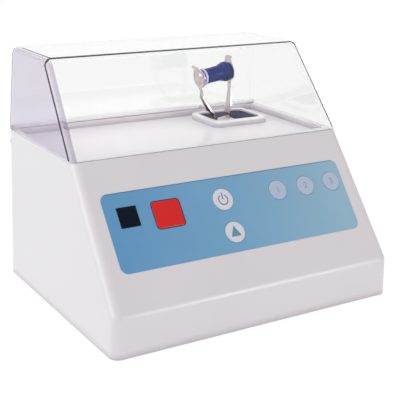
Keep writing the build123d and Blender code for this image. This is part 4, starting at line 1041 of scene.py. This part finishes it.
lens_corner = 2.0
for name, node_name, finish, radius, chamfer in (
    ("red_lens", "display_window", "window_red", lens_corner, 0.35),
    ("dark_tile", "badge_tile", "badge_dark", 0.3, 0.12),
):
    x_span, s_span, heights = across_and_up(node_name)
    plate = plate_on_panel(name, rounded_outline(x_span, s_span, radius), *heights)
    plate = baked(plate, ("BEVEL", {"width": chamfer * MM, "segments": 2, "limit_method": "ANGLE",
                                    "angle_limit": radians(60)}))
    piece(name, softened(plate, 50), finish, "housing", node_name)

# %% [markdown]
# Two dark pieces go with them, both painted shade. A thin dark outline round the lens stands for the
# shade at the lens's edge, and a dark sheet just inside the mixing opening's white collar stands for
# the shade deep in the opening. The CAD housing has the opening itself. The sheet is thin enough to
# stay clear of the fork.

# %% Finish: painted shade
# painted shade: a dark outline round the lens, for the shade at its edge
moulded("lens_outline_painted_shade", (0.06, 0.03, 0.09), roughness=0.4, depth=0.02, mottle=0.02)
# painted shade: a dark sheet inside the mixing opening, for the shade deep in it
moulded("opening_painted_shade", (0.1, 0.085, 0.165), roughness=0.5, depth=0.1, mottle=0.05)
print("finishes:", len(finishes))

# %% Painted shade round the lens
shade_outline_margin = 0.6
shade_outline_depth = 0.03
shade_outline_proud = 0.05


def widened(ends, margin):
    """Two ends, each moved outwards by this much."""
    return ends[0] - margin, ends[1] + margin


x_span, s_span, heights = across_and_up("display_window")
ink_level = across_and_up("panel_overlay")[2][1]
shade_outline_points = rounded_outline(widened(x_span, shade_outline_margin), widened(s_span, shade_outline_margin),
                                lens_corner + shade_outline_margin)
shade_outline_mesh = plate_on_panel("lens_shade_outline", shade_outline_points, ink_level - shade_outline_depth, ink_level + shade_outline_proud)
piece("lens_shade_outline", shade_outline_mesh, "lens_outline_painted_shade", "housing")

# %% Painted shade in the opening
search_reach = Vector((21, 17))  # from the hub, past the opening's walls
shade_sheet_drop = 1.3               # below the collar's top
shade_sheet_depth = 7.3
shade_sheet_gap = 0.05
shade_sheet_wall = 0.3
opening_corner = 5.0


def opening_walls(low_z, high_z):
    """Inner walls of the mixing opening, read off the housing: x and y reach."""
    near = [vertex.co / MM for vertex in nodes["housing_shell"].data.vertices]
    near = [p for p in near if low_z < p.z < high_z]
    near = [p for p in near if abs(p.x - hub.x) < search_reach.x and abs(p.y - hub.y) < search_reach.y]
    return [(min(p[i] for p in near), max(p[i] for p in near)) for i in range(2)]


shade_sheet_low = housing_high.z - shade_sheet_depth
shade_sheet_high = housing_high.z - shade_sheet_drop
x_walls, y_walls = opening_walls(shade_sheet_low - 1, shade_sheet_low + 1)
print("opening runs x", x_walls, "y", y_walls)


def sleeve_ring(inset, z):
    """Closed line inside the opening's walls at one height."""
    outline = rounded_outline(widened(x_walls, -inset), widened(y_walls, -inset), opening_corner - inset)
    return [Vector((x, y, z)) for x, y in outline]


outer, inner = shade_sheet_gap, shade_sheet_gap + shade_sheet_wall
rings = [sleeve_ring(outer, shade_sheet_low), sleeve_ring(outer, shade_sheet_high),
         sleeve_ring(inner, shade_sheet_high), sleeve_ring(inner, shade_sheet_low)]
count = len(rings[0])
shade_sheet_faces = []
for k in range(4):
    for i in range(count):
        j = (i + 1) % count
        shade_sheet_faces.append((k * count + j, k * count + i, (k + 1) % 4 * count + i, (k + 1) % 4 * count + j))
shade_sheet_mesh = mesh_from("opening_shade_sheet", [point for ring in rings for point in ring], shade_sheet_faces)
piece("opening_shade_sheet", softened(shade_sheet_mesh), "opening_painted_shade", "housing")

# %% [markdown]
# ## Symbols on the keys
# The upper white key carries the usual power symbol, the lower one a blue triangle that points up
# the panel, and the three pale keys faint numerals. They are printed, so each is a flat shape only
# a few hundredths of a millimetre thick. It rides on its key's body and goes down with the key.
#
# Images would need UV maps and a file. Flat meshes stay sharp at any distance and keep the
# materials simple. The numerals are text objects, made meshes before they're placed.

# %% Finishes: key inks
for name, colour, roughness in (
    ("symbol_grey", (0.2, 0.18, 0.27), 0.4),
    ("symbol_blue", (0.16, 0.35, 0.5), 0.36),
    ("symbol_faint", (0.33, 0.38, 0.47), 0.4),
):
    moulded(name, colour, roughness=roughness, depth=0.02, mottle=0.01)
print("finishes:", len(finishes))

# %% Power symbol and triangle
ink_thickness = 0.04
ink_sunk = 0.02                 # into the key, so that no gap shows


def key_face(name):
    """Middle of a key on the panel, and the height of its face."""
    x_span, s_span, heights = across_and_up(name)
    return sum(x_span) / 2, sum(s_span) / 2, heights[1]


def joined(name, meshes):
    """One mesh from several."""
    work = bmesh.new()
    for mesh in meshes:
        work.from_mesh(mesh)
    made = bpy.data.meshes.new(name)
    work.to_mesh(made)
    work.free()
    return made


def printed(name, outline, face_up):
    """Thin flat print with this outline on a key's face."""
    return plate_on_panel(name, outline, face_up - ink_sunk, face_up + ink_thickness)


x, s, face_up = key_face("power_button")
ring_radius = 3.3
ring_drop = 0.3
stroke = 0.7
bar_height = 4.7
gap_half = radians(28)
ring_steps = 48
turns = [pi / 2 + gap_half + (2 * pi - 2 * gap_half) * i / ring_steps for i in range(ring_steps + 1)]
outer, inner = [[(x + radius * cos(turn), s - ring_drop + radius * sin(turn)) for turn in turns]
                for radius in (ring_radius + stroke / 2, ring_radius - stroke / 2)]
bits = []
for i in range(ring_steps):
    bits.append(printed("ring_bit", [inner[i], outer[i], outer[i + 1], inner[i + 1]], face_up))
left, right = x - stroke / 2, x + stroke / 2
bits.append(printed("bar", [(left, s), (right, s), (right, s + bar_height), (left, s + bar_height)], face_up))
piece("power_symbol", joined("power_symbol", bits), "symbol_grey", "power_button")

x, s, face_up = key_face("start_button")
triangle_half = 3.7
triangle_foot = 2.9
triangle_tip = 4.4
foot = s - triangle_foot
triangle = [(x - triangle_half, foot), (x + triangle_half, foot), (x, s + triangle_tip)]
piece("start_symbol", printed("start_symbol", triangle, face_up), "symbol_blue", "start_button")

# %% Numerals
numeral_height = 6.0
numeral_sunk = 0.01
on_slope = Matrix((Vector((1, 0, 0)), panel_up, panel_normal)).transposed().to_4x4()
for number in (1, 2, 3):
    key = f"preset_button_{number}"
    x, s, face_up = key_face(key)
    words = bpy.data.curves.new(f"numeral_{number}", "FONT")
    words.body = str(number)
    words.size = numeral_height * MM
    words.extrude = ink_thickness / 2 * MM
    words.align_x = "CENTER"
    words.align_y = "CENTER"
    words.resolution_u = 4
    typed = bpy.data.objects.new("numeral", words)
    scene.collection.objects.link(typed)
    numeral = bpy.data.meshes.new_from_object(typed.evaluated_get(bpy.context.evaluated_depsgraph_get()))
    bpy.data.objects.remove(typed)
    numeral.materials.clear()
    place = on_panel(x, s, face_up + ink_thickness / 2 - numeral_sunk)
    numeral.transform(Matrix.Translation(place * MM) @ on_slope)
    piece(f"numeral_{number}", numeral, "symbol_faint", key)

# %% [markdown]
# ## Screws, feet and spring
# These repeat, so each kind is one Geometry Nodes tree. A tree takes points for the places and
# named inputs for the sizes, which come from the CAD solids. Placing copies by hand would work for
# four screws, but a tree keeps the head's shape in one place, and a longer screw is one number.
# The result is turned into a plain mesh for each body, because instances don't survive an export.

# %% Helpers for Geometry Nodes
def solid_group(name, inputs):
    """Geometry Nodes tree with a geometry input and output, and these extra inputs."""
    geometry = ("Geometry", "Geometry", None)
    return new_group(name, "GeometryNodeTree", [geometry] + inputs, [geometry[:2]])


def moved(tree, geometry, shift):
    """Geometry shifted by a vector."""
    return node(tree, "GeometryNodeTransform", {"Geometry": geometry, "Translation": shift}).outputs[0]


def united(tree, *solids):
    """One solid from several."""
    union = node(tree, "GeometryNodeMeshBoolean", operation="UNION")
    for solid in solids:
        tree.links.new(solid, union.inputs["Mesh 2"])
    return union.outputs[0]


def copied(tree, given, sizes, solid, **extra):
    """End a tree as every one here ends: a copy on each point, made real meshes, with their material."""
    joins = {"Points": sizes["Geometry"], "Instance": solid, **extra}
    copies = node(tree, "GeometryNodeInstanceOnPoints", joins)
    real = node(tree, "GeometryNodeRealizeInstances", {"Geometry": copies.outputs[0]})
    dressing = {"Geometry": real.outputs[0], "Material": sizes["Finish"]}
    painted = node(tree, "GeometryNodeSetMaterial", dressing)
    give(tree, given, {"Geometry": painted.outputs[0]})


def grown(group, places, values):
    """Run a tree on a mesh of single points, and give the plain mesh that it makes."""
    start = bpy.data.meshes.new("places")
    start.from_pydata([place * MM for place in places], [], [])
    thing = bpy.data.objects.new("in_work", start)
    scene.collection.objects.link(thing)
    modifier = thing.modifiers.new(group.name, "NODES")
    modifier.node_group = group
    sockets = {item.name: item.identifier for item in group.interface.items_tree if item.in_out == "INPUT"}
    for label, value in values.items():
        modifier[sockets[label]] = value
    graph = bpy.context.evaluated_depsgraph_get()
    made = bpy.data.meshes.new_from_object(thing.evaluated_get(graph), depsgraph=graph)
    thing.modifiers.remove(modifier)
    bpy.data.objects.remove(thing)
    return made


def middle_of(low, high):
    """Middle of a solid's box."""
    return (low + high) / 2


print("helpers: solid_group, moved, united, copied, grown, middle_of")

# %% [markdown]
# A pan-head screw is a shank under a slightly tapered head, with a cross for the driver. In the tree
# the shank and head are joined and two thin blocks are cut away, all before the copies are made,
# so the Boolean runs once, however many screws there are.

# %% Tree: cross-head screws
head_taper = 0.78
blade_reach = 1.15
blade_width = 0.24
blade_depth = 1.1
screw_tree, sizes, given = solid_group("cross_head_screws", [
    ("Head Radius", "Float", 0.0025), ("Head Height", "Float", 0.0015), ("Shank Radius", "Float", 0.0015),
    ("Shank Length", "Float", 0.01), ("Along", "Vector", (0, 0, 1)), ("Finish", "Material", None)])
narrow = worked(screw_tree, "MULTIPLY", sizes["Head Radius"], head_taper)
head = node(screw_tree, "GeometryNodeMeshCone", {
    "Vertices": 40, "Radius Bottom": sizes["Head Radius"], "Radius Top": narrow,
    "Depth": sizes["Head Height"]})
shank = node(screw_tree, "GeometryNodeMeshCylinder", {
    "Vertices": 32, "Radius": sizes["Shank Radius"], "Depth": sizes["Shank Length"]})
shank_down = worked(screw_tree, "MULTIPLY_ADD", sizes["Shank Length"], -0.5, 0.1 * MM)
shank_set = moved(screw_tree, shank.outputs[0], xyz(screw_tree, z=shank_down))
screw = united(screw_tree, head.outputs[0], shank_set)

blade_long, blade_thin = [worked(screw_tree, "MULTIPLY", sizes["Head Radius"], share)
                          for share in (blade_reach, blade_width)]
blade_deep = worked(screw_tree, "MULTIPLY", sizes["Head Height"], blade_depth)
blades = []
for along, across in ((blade_long, blade_thin), (blade_thin, blade_long)):
    blade_size = xyz(screw_tree, along, across, blade_deep)
    blades.append(node(screw_tree, "GeometryNodeMeshCube", {"Size": blade_size}).outputs[0])
cross = moved(screw_tree, united(screw_tree, *blades), xyz(screw_tree, z=sizes["Head Height"]))
cut = node(screw_tree, "GeometryNodeMeshBoolean", {"Mesh 1": screw, "Mesh 2": cross}, operation="DIFFERENCE")
aimed = node(screw_tree, "FunctionNodeAlignRotationToVector", {"Vector": sizes["Along"]}, axis="Z")
copied(screw_tree, given, sizes, cut.outputs[0], Rotation=aimed.outputs[0])

# %% Screws
def screws(name, node_name, towards, head_height, shank_radius):
    """Cross-head screws in place of a CAD node's plain ones. towards is the way out of the head."""
    places = []
    for low, high in solids_of(node_name):
        half = abs((high - low).dot(towards)) / 2
        places.append(middle_of(low, high) + towards * half)
        head_radius = min(high[i] - low[i] for i in range(3) if abs(towards[i]) < 0.5) / 2
    mesh = grown(screw_tree, places, {
        "Head Radius": head_radius * MM, "Head Height": head_height * MM, "Shank Radius": shank_radius * MM,
        "Shank Length": (2 * half - head_height) * MM, "Along": towards, "Finish": finishes["screw_steel"]})
    mesh.transform(Matrix.Translation(-towards * head_height * MM))
    piece(name, softened(mesh, 30), "screw_steel", "housing", node_name)


up = Vector((0, 0, 1))
screws("base_plate_screws", "base_screws", -up, head_height=1.5, shank_radius=1.5)
screws("tub_flange_screws", "tub_screws", -up, head_height=1.4, shank_radius=1.2)
screws("motor_cradle_screws", "cradle_screws", up, head_height=1.6, shank_radius=1.5)

# %% [markdown]
# The feet are soft rubber pucks: a cylinder with a tapered rim, so that they grip on their whole
# face and don't fold under. The tree joins a short cone and a cylinder.

# %% Tree: rubber feet
foot_tree, sizes, given = solid_group("rubber_pucks", [
    ("Radius", "Float", 0.007), ("Height", "Float", 0.007), ("Taper", "Float", 0.001),
    ("Finish", "Material", None)])
small = worked(foot_tree, "SUBTRACT", sizes["Radius"], sizes["Taper"])
rim = node(foot_tree, "GeometryNodeMeshCone", {
    "Vertices": 48, "Radius Bottom": small, "Radius Top": sizes["Radius"], "Depth": sizes["Taper"]})
tall = worked(foot_tree, "SUBTRACT", sizes["Height"], sizes["Taper"])
puck = node(foot_tree, "GeometryNodeMeshCylinder", {"Vertices": 48, "Radius": sizes["Radius"], "Depth": tall})
both_ends = worked(foot_tree, "ADD", sizes["Height"], sizes["Taper"])
puck_middle = worked(foot_tree, "MULTIPLY", both_ends, 0.5)
puck_set = moved(foot_tree, puck.outputs[0], xyz(foot_tree, z=puck_middle))
copied(foot_tree, given, sizes, united(foot_tree, rim.outputs[0], puck_set))

foot_taper = 0.8
foot_boxes = solids_of("rubber_feet")
foot_places = [Vector((*middle_of(low, high).xy, low.z)) for low, high in foot_boxes]
low, high = foot_boxes[0]
feet_mesh = grown(foot_tree, foot_places, {
    "Radius": (high.x - low.x) / 2 * MM, "Height": (high.z - low.z) * MM, "Taper": foot_taper * MM,
    "Finish": finishes["foot_rubber"]})
piece("feet", softened(feet_mesh, 30), "foot_rubber", "housing", "rubber_feet")

# %% [markdown]
# ## The tail spring
# A small compression spring under the yoke keeps the fork from turning round with the shaft. The
# CAD model has a plain tube in its place. A spiral curve with a round profile swept along it is a
# coil spring, and both are Geometry Nodes of their own.

# %% Tree: coil spring
spring_tree, sizes, given = solid_group("wound_spring", [
    ("Turns", "Float", 6.0), ("Coil Radius", "Float", 0.0025), ("Height", "Float", 0.014),
    ("Wire Radius", "Float", 0.00045), ("Finish", "Material", None)])
coil = node(spring_tree, "GeometryNodeCurveSpiral", {
    "Resolution": 28, "Rotations": sizes["Turns"], "Start Radius": sizes["Coil Radius"],
    "End Radius": sizes["Coil Radius"], "Height": sizes["Height"]})
wire = node(spring_tree, "GeometryNodeCurvePrimitiveCircle", {
    "Resolution": 12, "Radius": sizes["Wire Radius"]})
swept = node(spring_tree, "GeometryNodeCurveToMesh", {
    "Curve": coil.outputs[0], "Profile Curve": wire.outputs[0], "Fill Caps": True})
copied(spring_tree, given, sizes, swept.outputs[0])

wire_radius = 0.45
coil_turns = 6.5
(low, high), = solids_of("tail_spring")
spring_foot = Vector((*middle_of(low, high).xy, low.z + wire_radius))
spring_mesh = grown(spring_tree, [spring_foot], {
    "Turns": coil_turns, "Coil Radius": ((high.x - low.x) / 2 - wire_radius) * MM,
    "Height": (high.z - low.z - 2 * wire_radius) * MM, "Wire Radius": wire_radius * MM,
    "Finish": finishes["spring_steel"]})
piece("coil_spring", softened(spring_mesh, 60), "spring_steel", "housing", "tail_spring")
